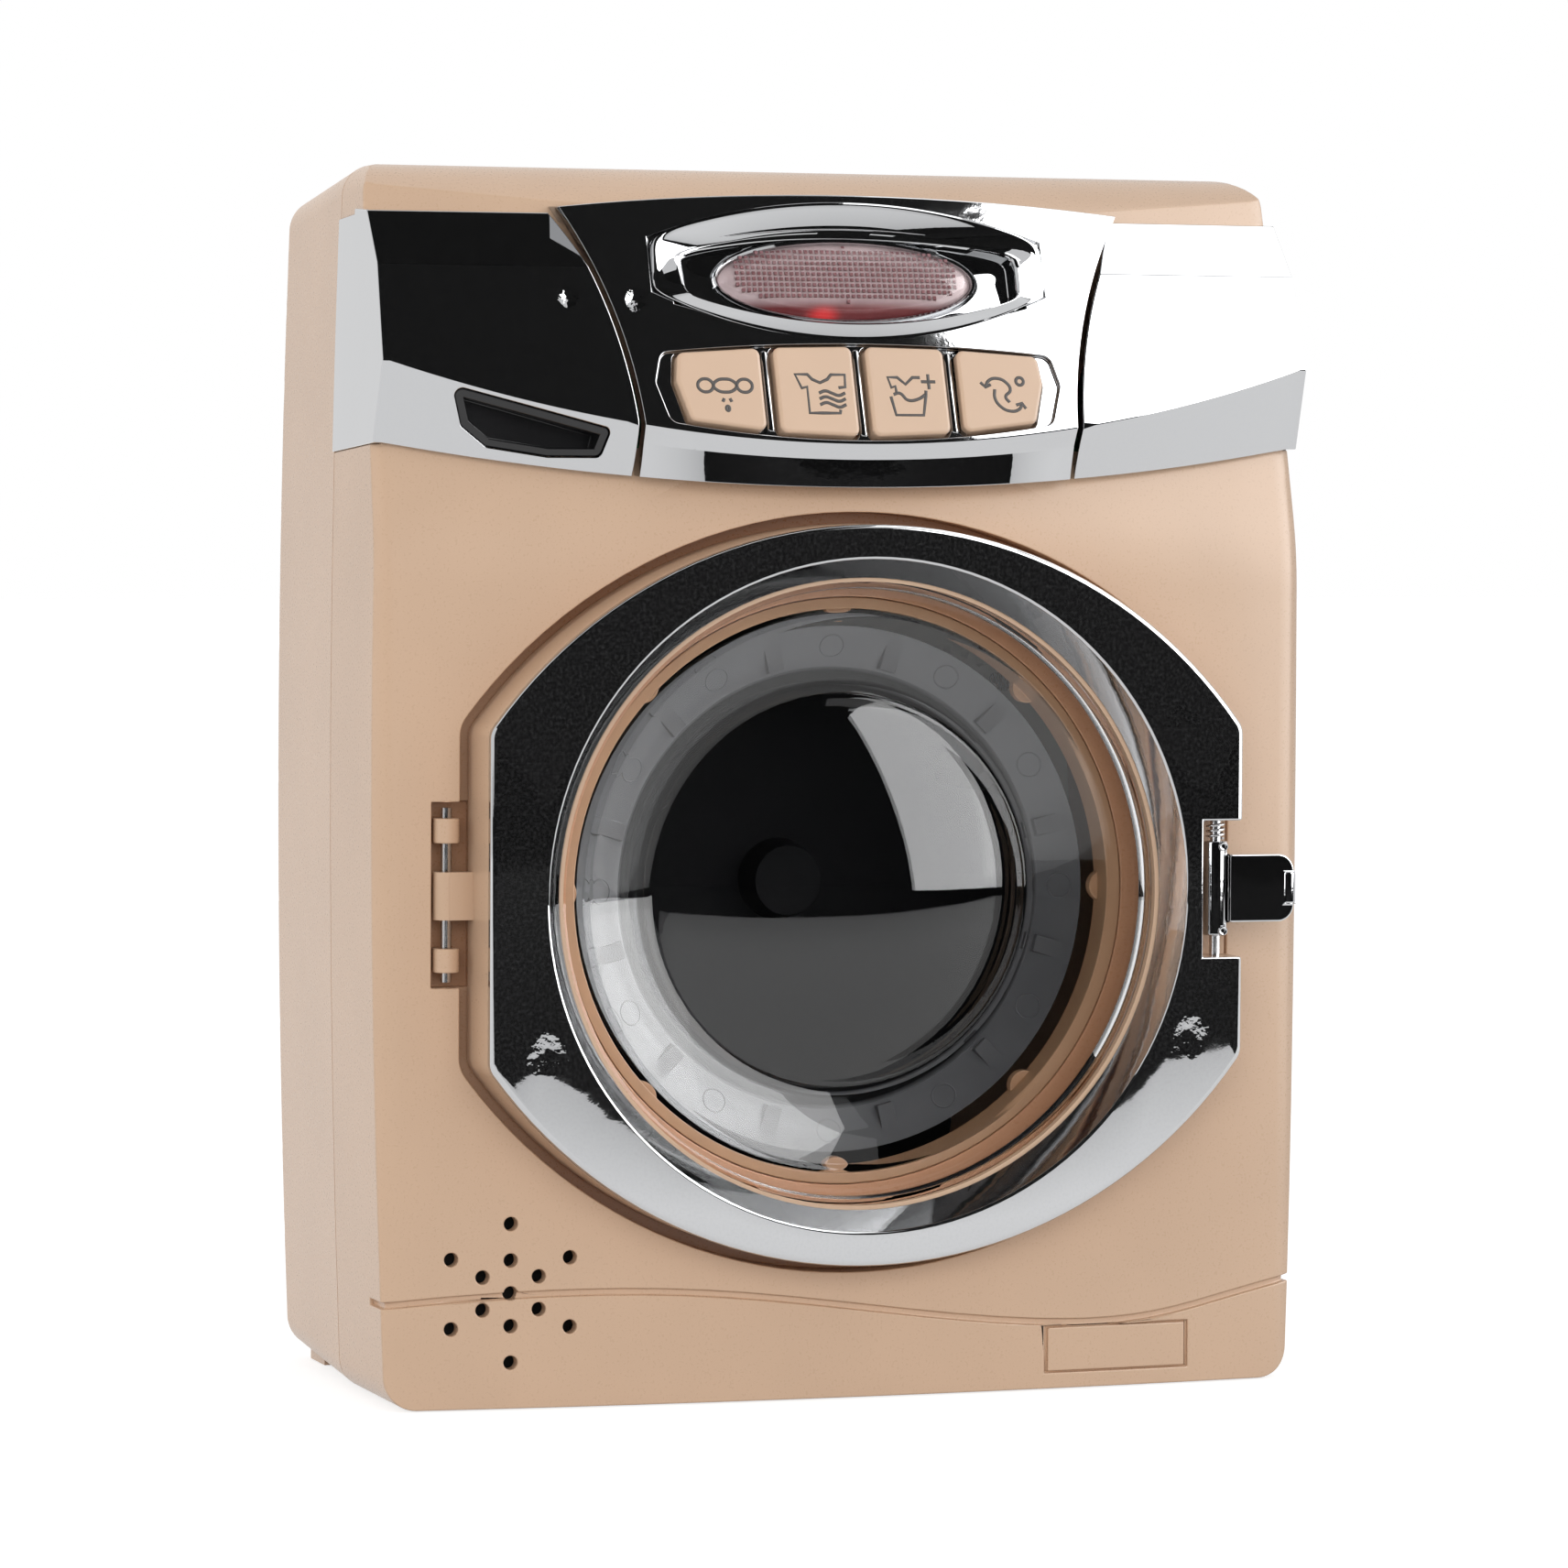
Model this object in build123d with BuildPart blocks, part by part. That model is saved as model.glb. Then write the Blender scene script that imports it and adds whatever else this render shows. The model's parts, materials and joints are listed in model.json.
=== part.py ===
from build123d import *
import os
from math import acos, cos, pi, radians, sin, sqrt, tan

# Toy washing machine, pretend-play size, in millimetres.
# X runs along the front, Y from the door towards the back, Z up. The origin is on the
# floor, under the middle of the machine's box.

# Cabinet
BODY_HEIGHT = 170.0
BODY_HALF = 67.65
BODY_HALF_AT_ENDS = 66.0
BODY_CORNER_R = 4.5
WALL = 2.2
FRONT_Y = -28.5
SEAM_Y = -0.5
BACK_Y = 36.0
PLAN_R = 622.0
PLAN_HALF = 68.4
PLAN_CORNER_R = 5.0
LEAN_START_Z = 112.0
LEAN_FULL_Z = 122.0
CABINET_LEAN = 14.3
BROW_START = (-15.9, 164.0)
BROW_MIDDLE = (-9.5, 168.4)
BACK_TOP_Z = 166.3
BACK_FOOT_Z = 1.7
BACK_DRAFT = 1.2
BACK_EDGE_R = 2.5

# Door
DOOR_FACE_Y = -36.0
DOOR_CENTRE_Z = 69.9
DOOR_HALF = 54.4
DOOR_ARC_R = 66.7
DOOR_ARC_SHIFT = 15.8
DOOR_CORNER_R = 3.0
DOOR_BACK_Y = -24.2
TRIM_BACK_Y = -34.4
DOOR_WALL = 2.0
RECESS_GAP = 1.6
RECESS_FLOOR_Y = -23.0
RECESS_BACK_Y = -21.0
TRIM_RING_R = 46.25
TRIM_BEVEL_R = 43.4
COLLAR_R = 46.9
COLLAR_BACK_Y = -31.45
WINDOW_SEAT_Y = -30.2
WINDOW_SEAT_R = 45.0
DOOR_PORT_R = 43.0
DOOR_TUBE_R = 49.0
WINDOW_WALL = 1.5
WINDOW_FUNNEL_R = 28.0
WINDOW_FUNNEL_Y = -22.2
WINDOW_APEX_Y = -28.2
WINDOW_RING_Y = -27.7
WINDOW_RING_R = (38.0, 42.0)
TRIM_SCREW_X = 46.0
TRIM_SCREW_RISE = 24.0

# Door hinge, on the left, and latch, on the right
HINGE_X = -57.7
HINGE_Y = -25.0
HINGE_R = 1.8
HINGE_PIN_R = 0.75
HINGE_POCKET = (-59.9, -54.1, 57.6, 82.9)
HINGE_POCKET_Y = -22.3
BODY_KNUCKLES = ((59.7, 63.0), (77.3, 80.7))
DOOR_KNUCKLE = (66.9, 73.4)
LATCH_X = 51.2
LATCH_Y = -33.4
LATCH_Z = 70.2
LATCH_HALF = 4.75
LATCH_BARREL_HALF = 6.6
LATCH_R = 1.7
LATCH_PIN_R = 0.75
LATCH_TAB_X = (52.7, 62.3)
LATCH_TAB_Y = (-35.5, -33.9)
LATCH_LIP_HALF = 2.2
LATCH_HOOK_HALF = 3.0
LATCH_HOOK_TIP_Y = -19.4
LATCH_SLOT_X = 48.8
NOTCH_X = 48.5
NOTCH_HALF = 9.5
NOTCH_FLOOR_Y = -29.0
FIT = 0.05

# Loading port and drum
PORT_R = 41.0
PORT_RING_R = 39.2
PORT_BACK_Y = -18.0
PORT_TABS = 8
TAB_R = 2.15
DRUM_R = 37.4
DRUM_FRONT_Y = -17.5
DRUM_BACK_Y = 9.0
DRUM_WALL = 1.6
DRUM_MOUTH_R = 28.5
DRUM_CONE_R = 31.0
DRUM_RIBS = 12
DRUM_LIFTERS = 3
SHAFT_R = 2.0
HUB_FRONT_Y = 1.5
SHAFT_FRONT_Y = 3.0

# Gear train
GEAR_MODULE = 1.0
GEAR_TEETH = 72
PINION_TEETH = 10
GEAR_FRONT_Y = 9.0
GEAR_BACK_Y = 13.0
GEAR_ADDENDUM = 0.65
PINION_ADDENDUM = 0.9
DEDENDUM = 1.2
BACKLASH = 0.13
PRESSURE_ANGLE = 20.0
MOTOR_ANGLE = 45.0
PLATE_FRONT_Y = 14.0
PLATE_BACK_Y = 16.0
MOTOR_R = 12.2
MOTOR_LENGTH = 12.3
MOTOR_SHAFT_R = 1.0

# Control panel
PANEL_ORIGIN = (0.0, -25.9, 149.0)
PANEL_LEAN = 19.3
PANEL_PLAN_R = 1450.0
PANEL_HALF = 66.2
PANEL_END = 67.6
PANEL_WALL = 2.2
LIP_FORWARD = 2.05
LIP_HALF = 28.0
LIP_SHARE = 0.64
CHEEK_PROUD = 0.3
CHEEK_DEPTH = 1.2
CHEEK_REAR = (130.3, 162.4)
SEAM_HALF_GAP = 0.4
KEY_COUNT = 4
KEY_GAP = 0.3
KEY_EDGES = (-27.4, -13.3, 0.0, 13.3, 27.4)
KEY_SPACE = 0.95
KEY_FACE = 0.5
KEY_END_XS = (26.1, 26.6, 25.0)
KEY_CORNER_R = 1.1
BOARD_DEPTH = 12.4
BOARD_THICK = 1.6
DISPLAY_V = 6.2
LENS_HALF = 18.4
LENS_HEIGHT_HALF = 5.5
LENS_DEPTH = 0.7
LENS_SHOULDER = 1.3

# Batteries, speaker, switch and screws
CELL_R = 7.15
CELL_LENGTH = 50.0
CELL_ZS = (12.9, 28.0, 43.1)
CELL_Y = 25.3
TRAY = (-30.5, 30.5, 16.5, 33.6, 4.0, 52.0)
TRAY_WALL = 1.5
SPEAKER_X = -48.8
SPEAKER_Z = 15.8
SPEAKER_R = 12.4
SPEAKER_FRONT_Y = -23.1
SPEAKER_HOLE_R = 0.95
SPEAKER_RINGS = (4.5, 9.5)
CASE_SCREWS = ((-60.3, 34.0), (60.3, 34.0), (-60.0, 150.0), (60.0, 150.0))
SWITCH_X = -30.0
SWITCH_Z = 128.0
SWITCH_TRAVEL = 3.0

os.makedirs("parts", exist_ok=True)


def finish(builder, name):
    """Label a finished piece and write it under its own name."""
    builder.part.label = name
    export_step(builder.part, f"parts/{name}.step")
    solids = builder.part.solids()
    print(f"{name}: {len(solids)} solids, {builder.part.volume / 1000:.2f} cm3")


def elevation(y):
    """A sketch plane seen from the front, standing at depth y. Extruding goes to the front."""
    return Plane.XZ.offset(-y)


def panel_plane(height=0.0):
    """The leaning plane of the control panel's face, height above it."""
    lean = radians(PANEL_LEAN)
    plane = Plane(origin=PANEL_ORIGIN, x_dir=(1, 0, 0), z_dir=(0, -cos(lean), sin(lean)))
    return plane.offset(height)


def drum_plane(y):
    """A front view plane centred on the drum's axis."""
    return Plane(origin=(0, y, DOOR_CENTRE_Z), x_dir=(1, 0, 0), z_dir=(0, -1, 0))


DRUM_AXIS = Axis((0, 0, DOOR_CENTRE_Z), (0, 1, 0))


def box_between(x0, x1, y0, y1, z0, z1, mode=Mode.ADD):
    """A block between two corners, in the part's own frame."""
    with Locations(((x0 + x1) / 2, (y0 + y1) / 2, (z0 + z1) / 2)):
        Box(x1 - x0, y1 - y0, z1 - z0, mode=mode)


def rod_y(x, z, y0, y1, radius, mode=Mode.ADD):
    """A round bar along Y."""
    with Locations(Location((x, (y0 + y1) / 2, z), (90, 0, 0))):
        Cylinder(radius, y1 - y0, mode=mode)


def rod_z(x, y, z0, z1, radius, mode=Mode.ADD):
    """A round bar along Z."""
    with Locations((x, y, (z0 + z1) / 2)):
        Cylinder(radius, z1 - z0, mode=mode)


def ring_profile(*points):
    """A closed profile of (y, radius) points beside the drum's axis, ready to revolve."""
    with BuildSketch(Plane.YZ) as profile:
        with BuildLine():
            Polyline(*[(y, DOOR_CENTRE_Z + r) for y, r in points], close=True)
        make_face()
    return profile.sketch


# Cabinet forms


def cabinet_outline(inset=0.0, foot=0.0, top=BODY_HEIGHT, draft=0.0):
    """Front view of the cabinet: flat top and foot, gently bowed sides, small corners."""
    low, high = foot + inset, top - inset
    end = BODY_HALF_AT_ENDS - inset - draft
    middle = BODY_HALF - inset - draft
    centre = (low + high) / 2
    with BuildSketch() as outline:
        with BuildLine():
            Line((-end, high), (end, high))
            ThreePointArc((end, high), (middle, centre), (end, low))
            Line((end, low), (-end, low))
            ThreePointArc((-end, low), (-middle, centre), (-end, high))
        make_face()
        fillet(outline.vertices(), BODY_CORNER_R - inset)
    return outline.sketch


def lean_back(z):
    """How far the cabinet's front stands behind its upright part at height z."""
    full = tan(radians(CABINET_LEAN))
    span = LEAN_FULL_Z - LEAN_START_Z
    if z <= LEAN_START_Z:
        return 0.0
    if z <= LEAN_FULL_Z:
        return full * (z - LEAN_START_Z) ** 2 / (2 * span)
    return full * (z - LEAN_FULL_Z + span / 2)


def plan_outline(inset, z):
    """The cabinet's front half from above at height z: a shallow arc with round corners."""
    half = PLAN_HALF - inset
    front = FRONT_Y + inset + lean_back(z)
    radius = PLAN_R - inset
    side = front + radius - sqrt(radius**2 - half**2)
    behind_seam = SEAM_Y + 6.0
    with BuildSketch() as plan:
        with BuildLine():
            ThreePointArc((-half, side), (0, front), (half, side))
            Polyline((half, side), (half, behind_seam), (-half, behind_seam), (-half, side))
        make_face()
        fillet(plan.vertices().group_by(Axis.Y)[0], PLAN_CORNER_R - inset / 2)
    return plan.sketch


def front_form(inset=0.0):
    """The front half of the cabinet as a solid, its skin set in by inset."""
    blend_steps = 5
    with BuildPart() as form:
        with BuildSketch():
            add(plan_outline(inset, 0))
        extrude(amount=LEAN_START_Z)
        for step in range(blend_steps + 1):
            z = LEAN_START_Z + step * (LEAN_FULL_Z - LEAN_START_Z) / blend_steps
            with BuildSketch(Plane.XY.offset(z)):
                add(plan_outline(inset, z))
        loft()
        for z in (LEAN_FULL_Z, BODY_HEIGHT):
            with BuildSketch(Plane.XY.offset(z)):
                add(plan_outline(inset, z))
        loft()
        with BuildSketch(elevation(SEAM_Y)):
            add(cabinet_outline(inset))
        extrude(amount=SEAM_Y - DOOR_FACE_Y, mode=Mode.INTERSECT)
        add(brow_cutter(inset), mode=Mode.SUBTRACT)
    return form.part


def brow_cutter(inset):
    """What the brow takes off: the top rolls down from the seam to the panel."""
    front, low = BROW_START
    seam = SEAM_Y + 0.5
    above = BODY_HEIGHT + 5.0
    with BuildPart() as cutter:
        with BuildSketch(Plane.YZ):
            with BuildLine():
                middle = (BROW_MIDDLE[0], BROW_MIDDLE[1] - inset)
                ThreePointArc((front, low - inset), middle, (seam, BODY_HEIGHT - inset))
                Polyline((seam, BODY_HEIGHT - inset), (seam, above), (front - 9, above),
                         (front - 9, low - 4 - inset), (front, low - inset))
            make_face()
        extrude(amount=PLAN_HALF + 10, both=True)
    return cutter.part


def rear_form(inset=0.0):
    """The rear half as a solid: it narrows a little towards the back."""
    with BuildPart() as form:
        with BuildSketch(elevation(SEAM_Y)):
            add(cabinet_outline(inset))
        with BuildSketch(elevation(BACK_Y - inset)):
            add(cabinet_outline(inset, BACK_FOOT_Z, BACK_TOP_Z, BACK_DRAFT))
        loft()
        if not inset:
            fillet(form.faces().sort_by(Axis.Y)[-1].edges(), BACK_EDGE_R)
    return form.part


def door_outline(grow=0.0):
    """Front view of the door: upright sides between two large arcs."""
    half = DOOR_HALF + grow
    radius = DOOR_ARC_R + grow
    shoulder = sqrt(radius**2 - half**2) - DOOR_ARC_SHIFT
    crown = radius - DOOR_ARC_SHIFT
    with BuildSketch() as outline:
        with BuildLine():
            Line((half, -shoulder), (half, shoulder))
            ThreePointArc((half, shoulder), (0, crown), (-half, shoulder))
            Line((-half, shoulder), (-half, -shoulder))
            ThreePointArc((-half, -shoulder), (0, -crown), (half, -shoulder))
        make_face()
        fillet(outline.vertices(), DOOR_CORNER_R + grow)
    return outline.sketch


CABINET_FRONT = front_form()
CABINET_HOLLOW = front_form(WALL)


# Front shell


def panel_section(x, wing, inset=0.0):
    """The panel's side profile at x, as (y, z) points from the foot up the front."""
    lean = radians(PANEL_LEAN)
    bow = x**2 / (2 * PANEL_PLAN_R)
    reach = abs(x) / PANEL_HALF
    origin_y, origin_z = PANEL_ORIGIN[1:]

    def on_face(v):
        return (origin_y + v * sin(lean) + bow, origin_z + v * cos(lean))

    foot = (-28.4 + 6.0 * reach**2, 125.7 + x**2 / 756)
    ridge = on_face(-18.25 + 11.5 * reach**2)
    if wing:
        front = [foot, ridge, on_face(7.2), (-17.0 + bow, 163.2)]
    else:
        # Below its ridge the centre has an upright lip that fades out towards the wings
        lip = LIP_FORWARD / (1 + (x / LIP_HALF)**6)
        lip_top = (foot[0] + LIP_SHARE * (ridge[0] - foot[0]),
                   foot[1] + LIP_SHARE * (ridge[1] - foot[1]))
        top_z = 166.2 - x**2 / 740
        front = [(foot[0] - lip, foot[1]), lip_top, ridge,
                 on_face((top_z - origin_z) / cos(lean))]
    low, high = front[0][1] + inset, front[-1][1] - inset
    front = [(y + inset, min(max(z, low), high)) for y, z in front]
    return [(-9.0, low + 1.5)] + front + [(-9.0, high + 0.4)]


def cheek(side):
    """The end of a wing that wraps round the cabinet's side as far as the seam."""
    front = panel_section(side * PANEL_HALF, True)[1:-1]
    rear_low, rear_high = CHEEK_REAR
    with BuildPart() as form:
        with BuildSketch(elevation(SEAM_Y)):
            add(cabinet_outline(-CHEEK_PROUD))
            add(cabinet_outline(CHEEK_DEPTH), mode=Mode.SUBTRACT)
        extrude(amount=30)
        with BuildSketch(Plane.YZ.offset(side * PANEL_HALF - 6)):
            with BuildLine():
                Polyline(*front, (SEAM_Y, rear_high), (SEAM_Y, rear_low), close=True)
            make_face()
        extrude(amount=12, mode=Mode.INTERSECT)
    return form.part


def door_pan():
    """The pan behind the door recess, fused to the front wall."""
    with BuildPart() as pan:
        with BuildSketch(drum_plane(RECESS_BACK_Y)):
            add(door_outline(RECESS_GAP + WALL))
        extrude(amount=RECESS_BACK_Y - FRONT_Y)
        add(front_form(WALL / 2), mode=Mode.INTERSECT)
    return pan.part


def surface_line(points, width, depth):
    """A groove that follows the front skin along a smooth line through points (x, z)."""
    with BuildPart() as groove:
        with BuildSketch(elevation(FRONT_Y + 10)):
            with BuildLine():
                Spline(*points)
            trace(line_width=width)
        extrude(amount=20)
        add(CABINET_FRONT, mode=Mode.INTERSECT)
        add(front_form(depth), mode=Mode.SUBTRACT)
    return groove.part


def flap_line(depth):
    """The thin outline of the filter flap at the foot, bottom right."""
    left, right, low, high = 28.4, 50.4, 2.2, 8.8
    with BuildPart() as groove:
        with BuildSketch(elevation(FRONT_Y + 10)):
            with Locations(((left + right) / 2, (low + high) / 2)):
                Rectangle(right - left, high - low)
                Rectangle(right - left - 1.0, high - low - 0.5, mode=Mode.SUBTRACT)
        extrude(amount=20)
        add(CABINET_FRONT, mode=Mode.INTERSECT)
        add(front_form(depth), mode=Mode.SUBTRACT)
    return groove.part


KICK_LINE = ((-68, 14.2), (-48, 15.5), (-23, 15.2), (2.5, 12.3), (27, 9.5), (45, 9.8),
             (58, 12.4), (68, 14.4))

with BuildPart() as front_shell:
    add(CABINET_FRONT)
    add(CABINET_HOLLOW, mode=Mode.SUBTRACT)
    add(door_pan())
    # Back of the hinge pocket, screw bosses and the speaker's seat
    x0, x1, z0, z1 = HINGE_POCKET
    box_between(x0 - 2, x1 + 2, HINGE_POCKET_Y - 2, HINGE_POCKET_Y + 2, z0 - 2, z1 + 2)
    with BuildSketch(elevation(SEAM_Y)):
        with Locations(*CASE_SCREWS):
            Circle(4.0)
    extrude(amount=30)
    with BuildSketch(elevation(SPEAKER_FRONT_Y + 3)):
        with Locations((SPEAKER_X, SPEAKER_Z)):
            Circle(SPEAKER_R + 1.6)
            Circle(SPEAKER_R + 0.3, mode=Mode.SUBTRACT)
    extrude(amount=6)
    add(CABINET_FRONT, mode=Mode.INTERSECT)
    # Door recess, loading port, latch slot and hinge pocket
    with BuildSketch(drum_plane(RECESS_FLOOR_Y)):
        add(door_outline(RECESS_GAP))
    extrude(amount=RECESS_FLOOR_Y - DOOR_FACE_Y, mode=Mode.SUBTRACT)
    rod_y(0, DOOR_CENTRE_Z, RECESS_FLOOR_Y - 1, RECESS_BACK_Y + 1, PORT_R, Mode.SUBTRACT)
    box_between(LATCH_SLOT_X, DOOR_HALF + RECESS_GAP, RECESS_FLOOR_Y - 1, RECESS_BACK_Y + 1,
                LATCH_Z - 4, LATCH_Z + 4, Mode.SUBTRACT)
    box_between(x0, x1, DOOR_FACE_Y, HINGE_POCKET_Y, z0, z1, Mode.SUBTRACT)
    for low, high in BODY_KNUCKLES:
        rod_z(HINGE_X, HINGE_Y, low, high, HINGE_R)
        box_between(HINGE_X - 1.6, HINGE_X + 1.6, HINGE_Y, HINGE_POCKET_Y + 0.5, low, high)
    rod_z(HINGE_X, HINGE_Y, z0 - 1, z1 + 1, HINGE_PIN_R + 0.01, Mode.SUBTRACT)
    # Opening behind the control panel
    box_between(-31, 31, DOOR_FACE_Y, -8, 131, 161, Mode.SUBTRACT)
    # Speaker holes, pilot holes and the moulded lines of the kick plate
    with BuildSketch(elevation(SPEAKER_FRONT_Y)):
        with Locations((SPEAKER_X, SPEAKER_Z)):
            Circle(SPEAKER_HOLE_R)
            for ring in SPEAKER_RINGS:
                with PolarLocations(ring, 6, start_angle=90):
                    Circle(SPEAKER_HOLE_R)
    extrude(amount=12, mode=Mode.SUBTRACT)
    with BuildSketch(elevation(SEAM_Y)):
        with Locations(*CASE_SCREWS):
            Circle(1.25)
    extrude(amount=11.5, mode=Mode.SUBTRACT)
    add(surface_line(KICK_LINE, 0.9, 0.7), mode=Mode.SUBTRACT)
    add(flap_line(0.6), mode=Mode.SUBTRACT)
    # Rebates in both sides for the ends of the control panel
    for side in (-1, 1):
        add(cheek(side), mode=Mode.SUBTRACT)
finish(front_shell, "front_shell")


# Rear shell

DOOR_OPENING = (-28.5, 28.5, 6.8, 49.4)
DOOR_REBATE = (-31.0, 31.0, 5.2, 57.6)
DOOR_SCREW_Z = 54.6
SWITCH_DISH = (15.0, 8.0, 1.5)

with BuildPart() as rear_shell:
    add(rear_form())
    add(rear_form(WALL), mode=Mode.SUBTRACT)
    # Screw tubes, drive plate posts, switch seat and the two rear feet
    with BuildSketch(elevation(BACK_Y - WALL + 0.5)):
        with Locations(*CASE_SCREWS):
            Circle(4.4)
    extrude(amount=BACK_Y - WALL + 0.5 - SEAM_Y)
    box_between(SWITCH_X - 9.5, SWITCH_X + 9.5, BACK_Y - 4.0, BACK_Y - 1.0,
                SWITCH_Z - 6, SWITCH_Z + 6)
    for side in (-1, 1):
        box_between(side * 56 - 6, side * 56 + 6, 24, 32, 0, 3.5)
    PLATE_POSTS = ((-42.5, 57.5), (42.5, 57.5), (-34.0, 108.0), (46.5, 112.0))
    with BuildSketch(elevation(BACK_Y - WALL + 0.5)):
        with Locations(*PLATE_POSTS):
            Circle(3.2)
    extrude(amount=BACK_Y - WALL + 0.5 - PLATE_BACK_Y)
    with BuildSketch(elevation(BACK_Y - WALL)):
        with Locations(*PLATE_POSTS):
            Circle(1.0)
    extrude(amount=BACK_Y - WALL - PLATE_BACK_Y, mode=Mode.SUBTRACT)
    with BuildSketch(elevation(BACK_Y + 1)):
        with Locations(*CASE_SCREWS):
            Circle(3.1)
    extrude(amount=BACK_Y + 1 - 4, mode=Mode.SUBTRACT)
    with BuildSketch(elevation(5)):
        with Locations(*CASE_SCREWS):
            Circle(1.6)
    extrude(amount=6, mode=Mode.SUBTRACT)
    # Battery bay and switch slot
    x0, x1, z0, z1 = DOOR_OPENING
    box_between(x0, x1, 30, BACK_Y + 1, z0, z1, Mode.SUBTRACT)
    x0, x1, z0, z1 = DOOR_REBATE
    box_between(x0, x1, BACK_Y - 1.3, BACK_Y + 1, z0, z1, Mode.SUBTRACT)
    rod_y(0, DOOR_SCREW_Z, BACK_Y - 6, BACK_Y - 1.5, 2.4)
    rod_y(0, DOOR_SCREW_Z, BACK_Y - 6, BACK_Y, 1.3, Mode.SUBTRACT)
    width, height, depth = SWITCH_DISH
    box_between(SWITCH_X - width / 2, SWITCH_X + width / 2, BACK_Y - depth, BACK_Y + 1,
                SWITCH_Z - height / 2, SWITCH_Z + height / 2, Mode.SUBTRACT)
    box_between(SWITCH_X - 4.2, SWITCH_X + 4.2, BACK_Y - 5, BACK_Y, SWITCH_Z - 2, SWITCH_Z + 2,
                Mode.SUBTRACT)
finish(rear_shell, "rear_shell")


# Door


with BuildPart() as door_frame:
    with BuildSketch(drum_plane(DOOR_BACK_Y)):
        add(door_outline())
    extrude(amount=DOOR_BACK_Y - TRIM_BACK_Y)
    with BuildSketch(drum_plane(DOOR_BACK_Y)):
        add(door_outline(-DOOR_WALL))
        Circle(DOOR_TUBE_R, mode=Mode.SUBTRACT)
        # The latch well stays solid here
        with Locations((NOTCH_X + 3, LATCH_Z - DOOR_CENTRE_Z)):
            Rectangle(9.0, 2 * NOTCH_HALF + 3, mode=Mode.SUBTRACT)
    extrude(amount=DOOR_BACK_Y - TRIM_BACK_Y - DOOR_WALL, mode=Mode.SUBTRACT)
    rod_y(0, DOOR_CENTRE_Z, TRIM_BACK_Y - 1, DOOR_BACK_Y + 1, DOOR_PORT_R, Mode.SUBTRACT)
    rod_y(0, DOOR_CENTRE_Z, TRIM_BACK_Y - 1, COLLAR_BACK_Y + 0.05, COLLAR_R + 0.1, Mode.SUBTRACT)
    rod_y(0, DOOR_CENTRE_Z, WINDOW_SEAT_Y, DOOR_BACK_Y + 1, WINDOW_SEAT_R, Mode.SUBTRACT)
    # Latch well with the way through for the hook
    low, high = LATCH_Z - NOTCH_HALF, LATCH_Z + NOTCH_HALF
    box_between(NOTCH_X, DOOR_HALF + 1, DOOR_FACE_Y, NOTCH_FLOOR_Y, low, high, Mode.SUBTRACT)
    box_between(LATCH_SLOT_X + 1, DOOR_HALF + 1, NOTCH_FLOOR_Y - 1, DOOR_BACK_Y + 1,
                LATCH_Z - 3.8, LATCH_Z + 3.8, Mode.SUBTRACT)
    rod_z(LATCH_X, LATCH_Y, low - 1.2, high + 1.2, LATCH_PIN_R + 0.01, Mode.SUBTRACT)
    # Hinge knuckle and its arm
    low, high = DOOR_KNUCKLE
    rod_z(HINGE_X, HINGE_Y, low, high, HINGE_R)
    box_between(HINGE_X, DOOR_WALL / 2 - DOOR_HALF, HINGE_Y - 1.9, HINGE_Y + 0.6, low, high)
    rod_z(HINGE_X, HINGE_Y, low - 1, high + 1, HINGE_PIN_R + FIT, Mode.SUBTRACT)
finish(door_frame, "door_frame")


with BuildPart() as door_trim:
    with BuildSketch(drum_plane(TRIM_BACK_Y)):
        add(door_outline())
        Circle(COLLAR_R - 0.5, mode=Mode.SUBTRACT)
    extrude(amount=TRIM_BACK_Y - DOOR_FACE_Y)
    front = door_trim.faces().sort_by(Axis.Y)[0]
    fillet(front.outer_wire().edges(), 0.8)
    revolve(ring_profile((DOOR_FACE_Y, TRIM_RING_R), (DOOR_FACE_Y, COLLAR_R), (COLLAR_BACK_Y, COLLAR_R),
                  (COLLAR_BACK_Y, TRIM_BEVEL_R)),
            axis=DRUM_AXIS)
    low, high = LATCH_Z - NOTCH_HALF, LATCH_Z + NOTCH_HALF
    box_between(NOTCH_X, DOOR_HALF + 1, DOOR_FACE_Y - 1, TRIM_BACK_Y + 1, low, high,
                Mode.SUBTRACT)
finish(door_trim, "door_trim")


def dome_y(radius, set_back=0.0):
    """Depth of the window's dome at a distance from its middle, set_back behind its skin."""
    edge_r = WINDOW_FUNNEL_R - 1
    rise = WINDOW_FUNNEL_Y - WINDOW_APEX_Y
    ball_r = (edge_r**2 + rise**2) / (2 * rise)
    centre_y = WINDOW_APEX_Y + ball_r
    return centre_y - sqrt((ball_r - set_back) ** 2 - radius**2)


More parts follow.
